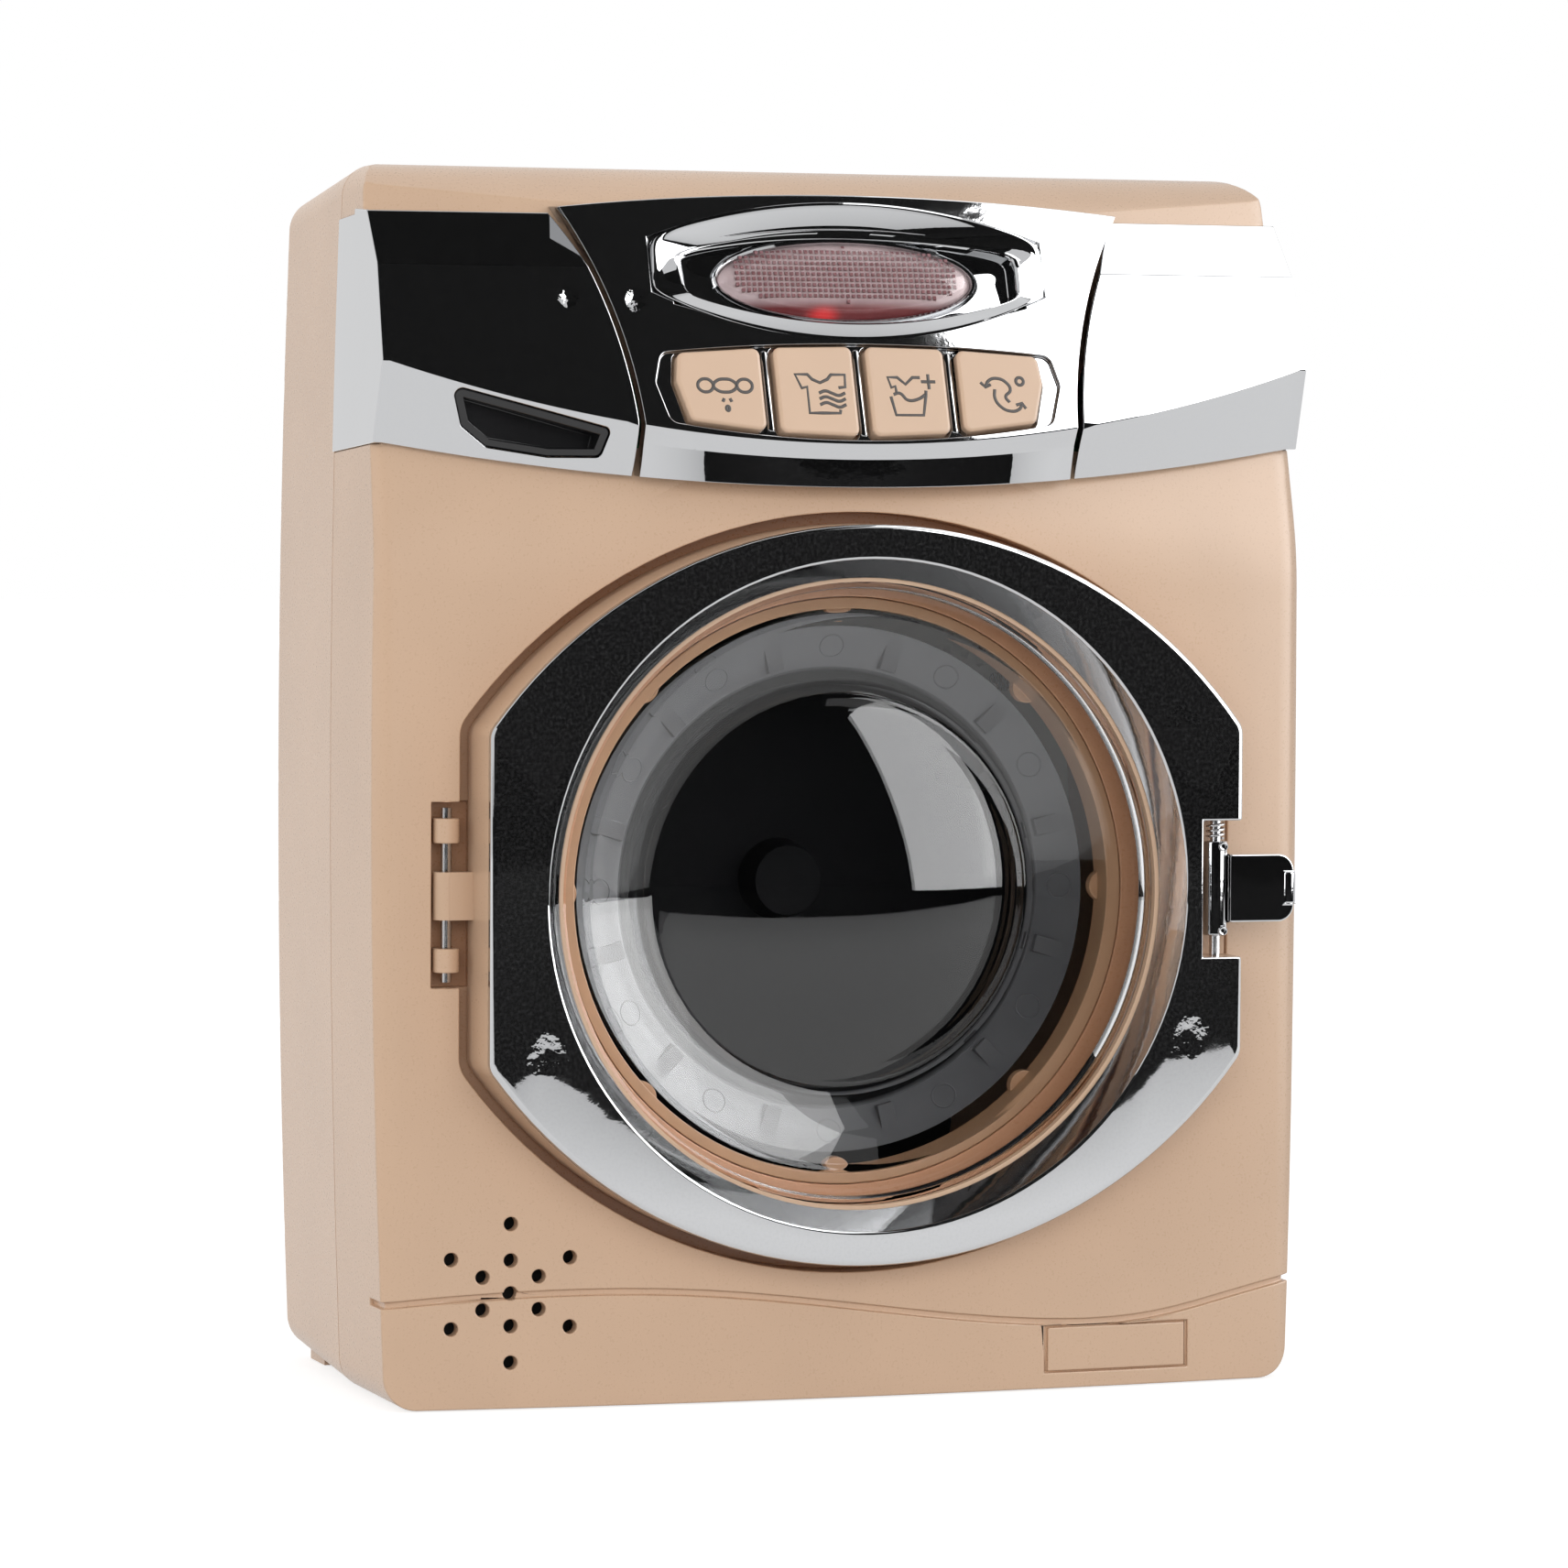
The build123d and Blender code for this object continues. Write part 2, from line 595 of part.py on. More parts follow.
with BuildPart() as door_window:
    # Flange, short tube, flat ring, funnel, and the dome that bulges to the front again
    with BuildSketch(Plane.YZ):
        with BuildLine():
            z = DOOR_CENTRE_Z
            flange = WINDOW_SEAT_R - 0.1
            ring_in, ring_out = WINDOW_RING_R
            ring_back = WINDOW_RING_Y + WINDOW_WALL
            face, back = WINDOW_SEAT_Y + 0.05, WINDOW_SEAT_Y + WINDOW_WALL
            rim, inner_rim = WINDOW_FUNNEL_R - 1, WINDOW_FUNNEL_R - 2
            foot = dome_y(inner_rim, WINDOW_WALL)
            Line((dome_y(0, WINDOW_WALL), z), (dome_y(0), z))
            ThreePointArc((dome_y(0), z), (dome_y(rim / 2), z + rim / 2), (dome_y(rim), z + rim))
            Polyline((dome_y(rim), z + rim), (dome_y(rim), z + rim + 1),
                     (WINDOW_RING_Y, z + ring_in), (WINDOW_RING_Y, z + ring_out),
                     (face, z + ring_out + 0.2), (face, z + flange), (back, z + flange),
                     (back, z + ring_out + 1.2), (ring_back, z + ring_out + 1.2),
                     (ring_back, z + ring_in + 0.7), (foot + 0.4, z + rim + 1.6),
                     (foot, z + inner_rim))
            ThreePointArc((foot, z + inner_rim),
                          (dome_y(inner_rim / 2, WINDOW_WALL), z + inner_rim / 2),
                          (dome_y(0, WINDOW_WALL), z))
        make_face()
    revolve(axis=DRUM_AXIS)
finish(door_window, "door_window")


with BuildPart() as window_retainer:
    inner = DOOR_PORT_R + 0.4
    outer = WINDOW_SEAT_R - 0.05
    front = WINDOW_SEAT_Y + WINDOW_WALL
    revolve(ring_profile((front, inner), (front, outer), (front + 1.4, outer), (front + 1.4, inner)),
            axis=DRUM_AXIS)
finish(window_retainer, "window_retainer")


with BuildPart() as trim_screws:
    # Four small screws hold the plate from behind, through the frame's front wall
    for x in (-TRIM_SCREW_X, TRIM_SCREW_X):
        for z in (DOOR_CENTRE_Z - TRIM_SCREW_RISE, DOOR_CENTRE_Z + TRIM_SCREW_RISE):
            rod_y(x, z, TRIM_BACK_Y + DOOR_WALL, TRIM_BACK_Y + DOOR_WALL + 1.1, 1.8)
finish(trim_screws, "trim_screws")


with BuildPart() as hinge_pin:
    rod_z(HINGE_X, HINGE_Y, 58.4, 82.1, HINGE_PIN_R)
finish(hinge_pin, "hinge_pin")


with BuildPart() as door_latch:
    # Finger tab with round corners, and the lip at its end
    low, high = LATCH_Z - LATCH_HALF, LATCH_Z + LATCH_HALF
    tab_start, tab_end = LATCH_TAB_X
    tab_front, tab_back = LATCH_TAB_Y
    with BuildSketch(elevation(tab_back)):
        with Locations(((tab_start + tab_end) / 2, LATCH_Z)):
            Rectangle(tab_end - tab_start, 2 * LATCH_HALF)
        fillet(vertices().group_by(Axis.X)[-1], 2.4)
    extrude(amount=tab_back - tab_front)
    rod_z(tab_end - 0.7, DOOR_FACE_Y + 1.0, LATCH_Z - LATCH_LIP_HALF, LATCH_Z + LATCH_LIP_HALF, 1.0)
    # Barrel round the pin, and the web that joins it to the tab
    rod_z(LATCH_X, LATCH_Y, LATCH_Z - LATCH_BARREL_HALF, LATCH_Z + LATCH_BARREL_HALF, LATCH_R)
    box_between(LATCH_X, tab_start + 0.8, LATCH_Y - 1.4, tab_back + 0.2, low, high)
    # Hook arm with its small barb
    hook_low, hook_high = LATCH_Z - LATCH_HOOK_HALF, LATCH_Z + LATCH_HOOK_HALF
    box_between(LATCH_X - 0.8, LATCH_X + 0.8, LATCH_Y, LATCH_HOOK_TIP_Y, hook_low, hook_high)
    with BuildSketch(Plane.XY.offset(hook_low)):
        with BuildLine():
            Polyline((LATCH_X - 0.8, -20.6), (LATCH_X - 1.9, -20.6), (LATCH_X - 1.9, -20.2),
                     (LATCH_X - 0.8, LATCH_HOOK_TIP_Y), close=True)
        make_face()
    extrude(amount=2 * LATCH_HOOK_HALF)
    rod_z(LATCH_X, LATCH_Y, LATCH_Z - LATCH_BARREL_HALF - 1, LATCH_Z + LATCH_BARREL_HALF + 1,
          LATCH_PIN_R + FIT, Mode.SUBTRACT)
finish(door_latch, "door_latch")


with BuildPart() as latch_pin:
    rod_z(LATCH_X, LATCH_Y, LATCH_Z - NOTCH_HALF - 1.1, LATCH_Z + NOTCH_HALF + 1.1, LATCH_PIN_R)
finish(latch_pin, "latch_pin")


with BuildPart() as latch_spring:
    # A coil round the pin, above the lever
    wire_r, coil_r, turns, height = 0.18, 1.15, 3, 2.1
    start = LATCH_Z + LATCH_BARREL_HALF + 0.3
    with BuildLine():
        coil = Helix(pitch=height / turns, height=height, radius=coil_r,
                     center=(LATCH_X, LATCH_Y, start))
    with BuildSketch(Plane(coil @ 0, z_dir=coil % 0)):
        Circle(wire_r)
    sweep(path=coil, is_frenet=True)
    print(f"latch_spring gap between turns {height / turns - 2 * wire_r:.2f} mm")
finish(latch_spring, "latch_spring")


# Loading port, drum and its shaft


with BuildPart() as port_ring:
    outer = PORT_R - 0.1
    revolve(ring_profile((RECESS_FLOOR_Y, PORT_RING_R), (RECESS_FLOOR_Y, outer), (RECESS_BACK_Y, outer),
                  (RECESS_BACK_Y, PORT_R + 2.5), (RECESS_BACK_Y + 1.4, PORT_R + 2.5),
                  (RECESS_BACK_Y + 1.4, outer), (PORT_BACK_Y, outer), (PORT_BACK_Y, PORT_RING_R)),
            axis=DRUM_AXIS)
    with BuildSketch(drum_plane(PORT_BACK_Y)):
        with PolarLocations(PORT_RING_R + 0.8, PORT_TABS):
            Circle(TAB_R)
        Circle(PORT_RING_R + 0.5, mode=Mode.INTERSECT)
    extrude(amount=1.6)
finish(port_ring, "port_ring")


with BuildPart() as drum:
    inner = DRUM_R - DRUM_WALL
    cone_back = DRUM_FRONT_Y + 2.0
    revolve(ring_profile((DRUM_FRONT_Y, DRUM_R), (cone_back, DRUM_CONE_R),
                  (cone_back + 4, DRUM_MOUTH_R), (cone_back + 5, DRUM_MOUTH_R + 1),
                  (cone_back + 1.4, DRUM_CONE_R + 1.2), (DRUM_FRONT_Y + 1.7, inner),
                  (DRUM_BACK_Y - 2, inner), (DRUM_BACK_Y - 2, SHAFT_R), (DRUM_BACK_Y, SHAFT_R),
                  (DRUM_BACK_Y, DRUM_R)),
            axis=DRUM_AXIS)
    # Hub with a blind hole for the shaft
    revolve(ring_profile((HUB_FRONT_Y, 0), (HUB_FRONT_Y, 5.0), (DRUM_BACK_Y, 6.0),
                         (DRUM_BACK_Y, SHAFT_R), (SHAFT_FRONT_Y, SHAFT_R), (SHAFT_FRONT_Y, 0)),
            axis=DRUM_AXIS)
    # Twelve upright ribs round the cone
    with BuildSketch(drum_plane(cone_back + 1.2)):
        with PolarLocations(34.2, DRUM_RIBS, start_angle=15):
            Rectangle(5.4, 2.4)
    extrude(amount=2.6)
    # Lifters inside, one at the bottom
    with BuildSketch(drum_plane(DRUM_BACK_Y - 1)):
        with PolarLocations(32.4, DRUM_LIFTERS, start_angle=-90):
            SlotOverall(9.0, 4.0)
        Circle(DRUM_R - 0.5, mode=Mode.INTERSECT)
    extrude(amount=18)
finish(drum, "drum")


with BuildPart() as drum_shaft:
    rod_y(0, DOOR_CENTRE_Z, SHAFT_FRONT_Y, 21.0, SHAFT_R)
finish(drum_shaft, "drum_shaft")


with BuildPart() as drum_bush:
    bore = SHAFT_R + FIT
    revolve(ring_profile((13.4, bore), (13.4, 5.5), (PLATE_FRONT_Y, 5.5), (PLATE_FRONT_Y, 4.0),
                  (19.0, 4.0), (19.0, bore)),
            axis=DRUM_AXIS)
finish(drum_bush, "drum_bush")


with BuildPart() as shaft_clip:
    revolve(ring_profile((19.4, SHAFT_R), (19.4, 4.0), (20.2, 4.0), (20.2, SHAFT_R)),
            axis=DRUM_AXIS)
finish(shaft_clip, "shaft_clip")


def involute_gap(radius, base):
    """How much narrower half a tooth is at radius than at the base circle, in radians."""
    if radius <= base:
        return 0.0
    angle = acos(base / radius)
    return tan(angle) - angle


def gear_outline(teeth, addendum, turn):
    """A spur gear's outline: involute flanks, tooth zero pointing at turn degrees."""
    pitch = GEAR_MODULE * teeth / 2
    base = pitch * cos(radians(PRESSURE_ANGLE))
    tip, root = pitch + addendum, pitch - DEDENDUM
    half_at_pitch = (pi * GEAR_MODULE / 4 - BACKLASH) / pitch
    half_at_base = half_at_pitch + involute_gap(pitch, base)
    radii = [root, max(root, base) + 0.02, pitch - 0.1, pitch + addendum / 2, tip]
    flank = [(r, half_at_base - involute_gap(r, base)) for r in radii]
    points = []
    for tooth in range(teeth):
        middle = radians(turn) + 2 * pi * tooth / teeth
        for r, half in flank:
            points.append((r * cos(middle - half), r * sin(middle - half)))
        for r, half in reversed(flank):
            points.append((r * cos(middle + half), r * sin(middle + half)))
    with BuildSketch() as outline:
        with BuildLine():
            Polyline(*points, close=True)
        make_face()
    return outline.sketch


GEAR_DISTANCE = GEAR_MODULE * (GEAR_TEETH + PINION_TEETH) / 2
MOTOR_X = GEAR_DISTANCE * cos(radians(MOTOR_ANGLE))
MOTOR_Z = DOOR_CENTRE_Z + GEAR_DISTANCE * sin(radians(MOTOR_ANGLE))


with BuildPart() as drum_gear:
    with BuildSketch(drum_plane(GEAR_BACK_Y)):
        add(gear_outline(GEAR_TEETH, GEAR_ADDENDUM, MOTOR_ANGLE))
        Circle(32.0, mode=Mode.SUBTRACT)
    extrude(amount=GEAR_BACK_Y - GEAR_FRONT_Y)
    revolve(ring_profile((GEAR_FRONT_Y, SHAFT_R), (GEAR_FRONT_Y, 32.5), (GEAR_FRONT_Y + 1.5, 32.5),
                  (GEAR_FRONT_Y + 1.5, 6.0), (GEAR_BACK_Y, 5.0), (GEAR_BACK_Y, SHAFT_R)),
            axis=DRUM_AXIS)
    with BuildSketch(drum_plane(GEAR_BACK_Y)):
        with PolarLocations(19.5, 6):
            Circle(7.0)
    extrude(amount=GEAR_BACK_Y - GEAR_FRONT_Y, mode=Mode.SUBTRACT)
finish(drum_gear, "drum_gear")


with BuildPart() as motor_pinion:
    with BuildSketch(Plane(origin=(MOTOR_X, GEAR_BACK_Y, MOTOR_Z), x_dir=(1, 0, 0),
                           z_dir=(0, -1, 0))):
        gap_turn = MOTOR_ANGLE + 180 + 180 / PINION_TEETH
        add(gear_outline(PINION_TEETH, PINION_ADDENDUM, gap_turn))
        Circle(MOTOR_SHAFT_R, mode=Mode.SUBTRACT)
    extrude(amount=GEAR_BACK_Y - GEAR_FRONT_Y - 0.5)
finish(motor_pinion, "motor_pinion")


with BuildPart() as motor_shaft:
    rod_y(MOTOR_X, MOTOR_Z, GEAR_FRONT_Y + 0.2, 20.0, MOTOR_SHAFT_R)
finish(motor_shaft, "motor_shaft")


with BuildPart() as drive_plate:
    with BuildSketch(elevation(PLATE_BACK_Y)):
        with BuildLine():
            Polyline((-46, 54), (46, 54), (50, 116), (-38, 112), close=True)
        make_face()
        fillet(vertices(), 4)
        with Locations((0, DOOR_CENTRE_Z)):
            Circle(4.0, mode=Mode.SUBTRACT)
        with Locations((MOTOR_X, MOTOR_Z)):
            Circle(3.1, mode=Mode.SUBTRACT)
        with Locations(*PLATE_POSTS):
            Circle(1.35, mode=Mode.SUBTRACT)
        with Locations((MOTOR_X - 8, MOTOR_Z), (MOTOR_X + 8, MOTOR_Z)):
            Circle(1.1, mode=Mode.SUBTRACT)
    extrude(amount=PLATE_BACK_Y - PLATE_FRONT_Y)
finish(drive_plate, "drive_plate")


with BuildPart() as plate_screws:
    for x, z in PLATE_POSTS:
        rod_y(x, z, PLATE_FRONT_Y - 1.2, PLATE_FRONT_Y, 2.3)
        rod_y(x, z, PLATE_FRONT_Y, 24.0, 1.0)
finish(plate_screws, "plate_screws")


with BuildPart() as motor:
    rod_y(MOTOR_X, MOTOR_Z, PLATE_BACK_Y, PLATE_BACK_Y + MOTOR_LENGTH, MOTOR_R)
    fillet(motor.edges().filter_by(GeomType.CIRCLE).sort_by(Axis.Y)[-1], 1.5)
    rod_y(MOTOR_X, MOTOR_Z, PLATE_FRONT_Y + 0.4, PLATE_BACK_Y, 3.0)
    rod_y(MOTOR_X, MOTOR_Z, PLATE_FRONT_Y, 20.5, MOTOR_SHAFT_R + FIT, Mode.SUBTRACT)
    with BuildSketch(elevation(PLATE_BACK_Y + MOTOR_LENGTH + 1.5)):
        with Locations((MOTOR_X, MOTOR_Z - 6), (MOTOR_X, MOTOR_Z + 6)):
            Rectangle(2.4, 0.6)
    extrude(amount=2)
finish(motor, "motor")


with BuildPart() as motor_screws:
    for x in (MOTOR_X - 8, MOTOR_X + 8):
        rod_y(x, MOTOR_Z, PLATE_FRONT_Y - 0.6, PLATE_FRONT_Y, 1.7)
        rod_y(x, MOTOR_Z, PLATE_FRONT_Y, PLATE_BACK_Y, 1.0)
finish(motor_screws, "motor_screws")


# Control panel: a centre and two wings, thin mouldings over the cabinet's lean


def panel_form(stations, wing, inset=0.0):
    """Loft the panel's profiles along X."""
    with BuildPart() as form:
        for x in stations:
            with BuildSketch(Plane.YZ.offset(x)):
                with BuildLine():
                    Polyline(*panel_section(x, wing, inset), close=True)
                make_face()
        loft()
    return form.part


def seam_region(half_gap):
    """Front view of the panel's centre between its two curved seams."""
    shift = -half_gap
    with BuildSketch() as region:
        with BuildLine():
            ThreePointArc((44.6 + shift, 169), (33.6 + shift, 146), (32.2 + shift, 122))
            Line((32.2 + shift, 122), (-32.2 - shift, 122))
            ThreePointArc((-32.2 - shift, 122), (-33.6 - shift, 146), (-44.6 - shift, 169))
            Line((-44.6 - shift, 169), (44.6 + shift, 169))
        make_face()
    return region.sketch


def lens_shape(half, top, end_top, end_low, low):
    """A band between two arcs with upright ends, on the panel's face."""
    with BuildSketch() as shape:
        with BuildLine():
            ThreePointArc((-half, end_top), (0, top), (half, end_top))
            Line((half, end_top), (half, end_low))
            ThreePointArc((half, end_low), (0, low), (-half, end_low))
            Line((-half, end_low), (-half, end_top))
        make_face()
    return shape.sketch


def field_top(x):
    """Upper edge of the button pocket at x, on the panel's face."""
    return -3.7 - 1.4 * (x / 28.2) ** 2


def field_low(x):
    """Lower edge of the button pocket at x: it runs beside the panel's ridge."""
    return -17.7 + 2.6 * (x / 27.6) ** 2


def key_field():
    """The outline of the button pocket on the panel's face."""
    with BuildSketch() as field:
        with BuildLine():
            ThreePointArc((-28.2, field_top(28.2)), (0, field_top(0)), (28.2, field_top(28.2)))
            Polyline((28.2, field_top(28.2)), (29.3, -9.4), (27.6, field_low(27.6)))
            ThreePointArc((27.6, field_low(27.6)), (0, field_low(0)), (-27.6, field_low(27.6)))
            Polyline((-27.6, field_low(27.6)), (-29.3, -9.4), (-28.2, field_top(28.2)))
        make_face()
        fillet(field.vertices(), 1.6)
    return field.sketch


def key_outline(index, grow=0.0):
    """One button's outline: a slice of the pocket; the end ones have a bent outer edge."""
    mirror_side = 1 if index >= KEY_COUNT / 2 else -1
    place = index if mirror_side > 0 else KEY_COUNT - 1 - index
    margin = 0.45 - grow
    inner = KEY_EDGES[place] + KEY_SPACE - grow
    outer = KEY_EDGES[place + 1] - KEY_SPACE + grow
    if place < KEY_COUNT - 1:
        right = [(outer, field_top(outer) - margin), (outer, field_low(outer) + margin)]
    else:
        top_x, middle_x, low_x = KEY_END_XS
        right = [(top_x + grow, field_top(top_x) - margin), (middle_x + grow, -9.4),
                 (low_x + grow, field_low(low_x) + margin)]
    left = [(inner, field_low(inner) + margin), (inner, field_top(inner) - margin)]
    corners = [(mirror_side * x, y) for x, y in right + left]
    with BuildSketch() as outline:
        with BuildLine():
            Polyline(*corners, close=True)
        make_face()
        fillet(outline.vertices(), KEY_CORNER_R)
    return outline.sketch


CENTRE_STATIONS = (-48, -32, -16, 0, 16, 32, 48)
WING_STATIONS = (26, 40, 54, PANEL_END)
WING_STATIONS_INNER = (24, 38, 52, PANEL_HALF - PANEL_WALL)
LED_XS = (-12.0, -4.0, 4.0, 12.0)
BOARD_POSTS = ((-27.4, -1.0), (27.4, -1.0), (-20.0, 15.2), (20.0, 15.2))

with BuildPart() as console_centre:
    add(panel_form(CENTRE_STATIONS, False))
    add(panel_form(CENTRE_STATIONS, False, PANEL_WALL), mode=Mode.SUBTRACT)
    with BuildSketch(elevation(-5)):
        add(seam_region(SEAM_HALF_GAP))
    extrude(amount=40, mode=Mode.INTERSECT)
    # Posts that hold the circuit board
    with BuildSketch(panel_plane(-BOARD_DEPTH)):
        with Locations(*BOARD_POSTS):
            Circle(1.9)
    extrude(amount=BOARD_DEPTH - 1.0)
    with BuildSketch(panel_plane(-BOARD_DEPTH)):
        with Locations(*BOARD_POSTS):
            Circle(0.8)
    extrude(amount=8, mode=Mode.SUBTRACT)
    # Seat and opening for the display bezel
    with BuildSketch(panel_plane(-0.6)):
        add(lens_shape(28.6, 17.1, 11.7, 3.7, -2.8))
    extrude(amount=3, mode=Mode.SUBTRACT)
    with BuildSketch(panel_plane(-6)):
        add(lens_shape(25.6, 13.4, 10.4, 2.0, -1.7))
    extrude(amount=8, mode=Mode.SUBTRACT)
    # Button pocket and its four openings
    with BuildSketch(panel_plane(-0.9)):
        add(key_field())
    extrude(amount=3, mode=Mode.SUBTRACT)
    for index in range(KEY_COUNT):
        with BuildSketch(panel_plane(-7)):
            add(key_outline(index, KEY_GAP))
        extrude(amount=9, mode=Mode.SUBTRACT)
    add(CABINET_FRONT, mode=Mode.SUBTRACT)
finish(console_centre, "console_centre")


def pull_outline(grow=0.0):
    """Front view of the drawer pull in the left wing."""
    with BuildSketch() as outline:
        with BuildLine():
            Polyline((-57.8, 139.4), (-35.8, 133.6), (-36.8, 129.7), (-44.0, 129.7),
                     (-52.4, 131.0), (-56.0, 133.8), (-57.8, 139.4))
        make_face()
        fillet(outline.vertices(), 1.0)
        if grow:
            offset(amount=grow, mode=Mode.REPLACE)
    return outline.sketch


def wing(side):
    """One wing of the panel; side is -1 on the left and 1 on the right."""
    with BuildPart() as form:
        add(panel_form([side * x for x in WING_STATIONS], True))
        inner = panel_form([side * x for x in WING_STATIONS_INNER], True, PANEL_WALL)
        add(inner, mode=Mode.SUBTRACT)
        with BuildSketch(elevation(-5)):
            add(seam_region(-SEAM_HALF_GAP))
        extrude(amount=40, mode=Mode.SUBTRACT)
        add(CABINET_FRONT, mode=Mode.SUBTRACT)
        add(cheek(side))
        with BuildSketch(elevation(SEAM_Y)):
            add(cabinet_outline(-CHEEK_PROUD))
        extrude(amount=30, mode=Mode.INTERSECT)
    return form.part


with BuildPart() as console_left:
    add(wing(-1))
    with BuildSketch(elevation(-5)):
        add(pull_outline())
    extrude(amount=40, mode=Mode.SUBTRACT)
finish(console_left, "console_left")


with BuildPart() as console_right:
    add(wing(1))
finish(console_right, "console_right")


with BuildPart() as drawer_pull:
    # A dark cup that fills the opening; fingers go in behind its upper edge
    with BuildSketch(elevation(-15)):
        add(pull_outline(-0.1))
    extrude(amount=30)
    add(panel_form([-x for x in WING_STATIONS], True, 0.3), mode=Mode.INTERSECT)
    with BuildSketch(elevation(-24.6)):
        add(pull_outline(-1.2))
    extrude(amount=12, mode=Mode.SUBTRACT)
    add(CABINET_FRONT, mode=Mode.SUBTRACT)
finish(drawer_pull, "drawer_pull")


with BuildPart() as display_bezel:
    with BuildSketch(panel_plane(-0.6)):
        add(lens_shape(28.5, 17.0, 11.6, 3.8, -2.7))
    extrude(amount=1.9)
    rim = display_bezel.faces().sort_by(Axis((0, 0, 0), panel_plane().z_dir))[-1]
    chamfer(rim.edges(), 0.8)
    with BuildSketch(panel_plane(-3.6)):
        add(lens_shape(25.5, 13.3, 10.3, 2.1, -1.6))
    extrude(amount=3.2)
    with BuildSketch(panel_plane(-2.4)):
        add(lens_shape(24.0, 12.3, 9.5, 2.9, -1.0))
    extrude(amount=5, mode=Mode.SUBTRACT)
    with BuildSketch(panel_plane(-5)):
        with Locations((0, DISPLAY_V)):
            Ellipse(LENS_HALF, LENS_HEIGHT_HALF)
    extrude(amount=5, mode=Mode.SUBTRACT)
finish(display_bezel, "display_bezel")


with BuildPart() as display_lens:
    # A pillow with a broad slanting shoulder round its flat face
    with BuildSketch(panel_plane(-3.4)):
        with Locations((0, DISPLAY_V)):
            Ellipse(LENS_HALF - 0.05, LENS_HEIGHT_HALF - 0.05)
    extrude(amount=3.4 - LENS_DEPTH)
    lens_face = display_lens.edges().group_by(Axis((0, 0, 0), panel_plane().z_dir))[-1]
    chamfer(lens_face, LENS_SHOULDER)
finish(display_lens, "display_lens")


with BuildPart() as display_mask:
    # A black plate with a grid of slots that the lamps shine through
    with BuildSketch(panel_plane(-4.9)):
        add(lens_shape(24.4, 12.4, 9.6, 2.8, -1.1))
        with Locations((0, DISPLAY_V)):
            with GridLocations(3.0, 2.2, 9, 3):
                Rectangle(2.2, 1.4, mode=Mode.SUBTRACT)
    extrude(amount=1.2)
finish(display_mask, "display_mask")


KEY_NAMES = ("button_twist", "button_shirt", "button_tub", "button_cycle")
KEY_CENTRES = [((KEY_EDGES[i] + KEY_EDGES[i + 1]) / 2, -11.0) for i in range(KEY_COUNT)]

for index, name in enumerate(KEY_NAMES):
    with BuildPart() as button:
        with BuildSketch(panel_plane(-4.0)):
            add(key_outline(index))
        extrude(amount=4.0 + KEY_FACE)
        top = button.faces().sort_by(Axis((0, 0, 0), panel_plane().z_dir))[-1]
        fillet(top.edges(), 0.5)
        with BuildSketch(panel_plane(-4.0)):
            add(key_outline(index, 0.6))
        extrude(amount=1.0)
        with BuildSketch(panel_plane(-8.0)):
            with Locations(KEY_CENTRES[index]):
                Circle(2.0)
        extrude(amount=4.5)
    finish(button, name)


with BuildPart() as keypad_mat:
    with BuildSketch(panel_plane(-BOARD_DEPTH)):
        with Locations((0, -10.6)):
            RectangleRounded(56, 11, 2)
    extrude(amount=1.0)
    with BuildSketch(panel_plane(-BOARD_DEPTH + 0.5)):
        with Locations(*KEY_CENTRES):
            Circle(3.4)
    extrude(amount=2.4, taper=20)
finish(keypad_mat, "keypad_mat")


with BuildPart() as control_board:
    with BuildSketch(panel_plane(-BOARD_DEPTH - BOARD_THICK)):
        with Locations((0, 0.5)):
            RectangleRounded(59.4, 34, 1.5)
        with Locations(*BOARD_POSTS):
            Circle(0.85, mode=Mode.SUBTRACT)
    extrude(amount=BOARD_THICK)
    # Sound chip and two capacitors on the back
    with BuildSketch(panel_plane(-BOARD_DEPTH - BOARD_THICK - 1.4)):
        with Locations((-9, 4)):
            Rectangle(10, 8)
        with Locations((12, 5), (18, 5)):
            Circle(2.0)
    extrude(amount=1.5)
finish(control_board, "control_board")


with BuildPart() as board_screws:
    with BuildSketch(panel_plane(-BOARD_DEPTH - BOARD_THICK - 1.0)):
        with Locations(*BOARD_POSTS):
            Circle(1.6)
    extrude(amount=1.0)
    with BuildSketch(panel_plane(-BOARD_DEPTH - BOARD_THICK)):
        with Locations(*BOARD_POSTS):
            Circle(0.75)
    extrude(amount=7)
finish(board_screws, "board_screws")


with BuildPart() as display_leds:
    with BuildSketch(panel_plane(-BOARD_DEPTH)):
        with Locations(*[(x, DISPLAY_V) for x in LED_XS]):
            Circle(1.5)
    extrude(amount=4.5)
    for lamp_top in display_leds.faces().group_by(Axis((0, 0, 0), panel_plane().z_dir))[-1]:
        fillet(lamp_top.edges(), 1.2)
finish(display_leds, "display_leds")


# Speaker, batteries, switch and case screws


with BuildPart() as speaker:
    rod_y(SPEAKER_X, SPEAKER_Z, SPEAKER_FRONT_Y, SPEAKER_FRONT_Y + 2.0, SPEAKER_R)
    rod_y(SPEAKER_X, SPEAKER_Z, SPEAKER_FRONT_Y + 2.0, SPEAKER_FRONT_Y + 5.5, 8.5)
    rod_y(SPEAKER_X, SPEAKER_Z, SPEAKER_FRONT_Y + 5.5, SPEAKER_FRONT_Y + 8.5, 6.0)
    rod_y(SPEAKER_X, SPEAKER_Z, SPEAKER_FRONT_Y - 1, SPEAKER_FRONT_Y + 1.4, SPEAKER_R - 1.4,
          Mode.SUBTRACT)
finish(speaker, "speaker")


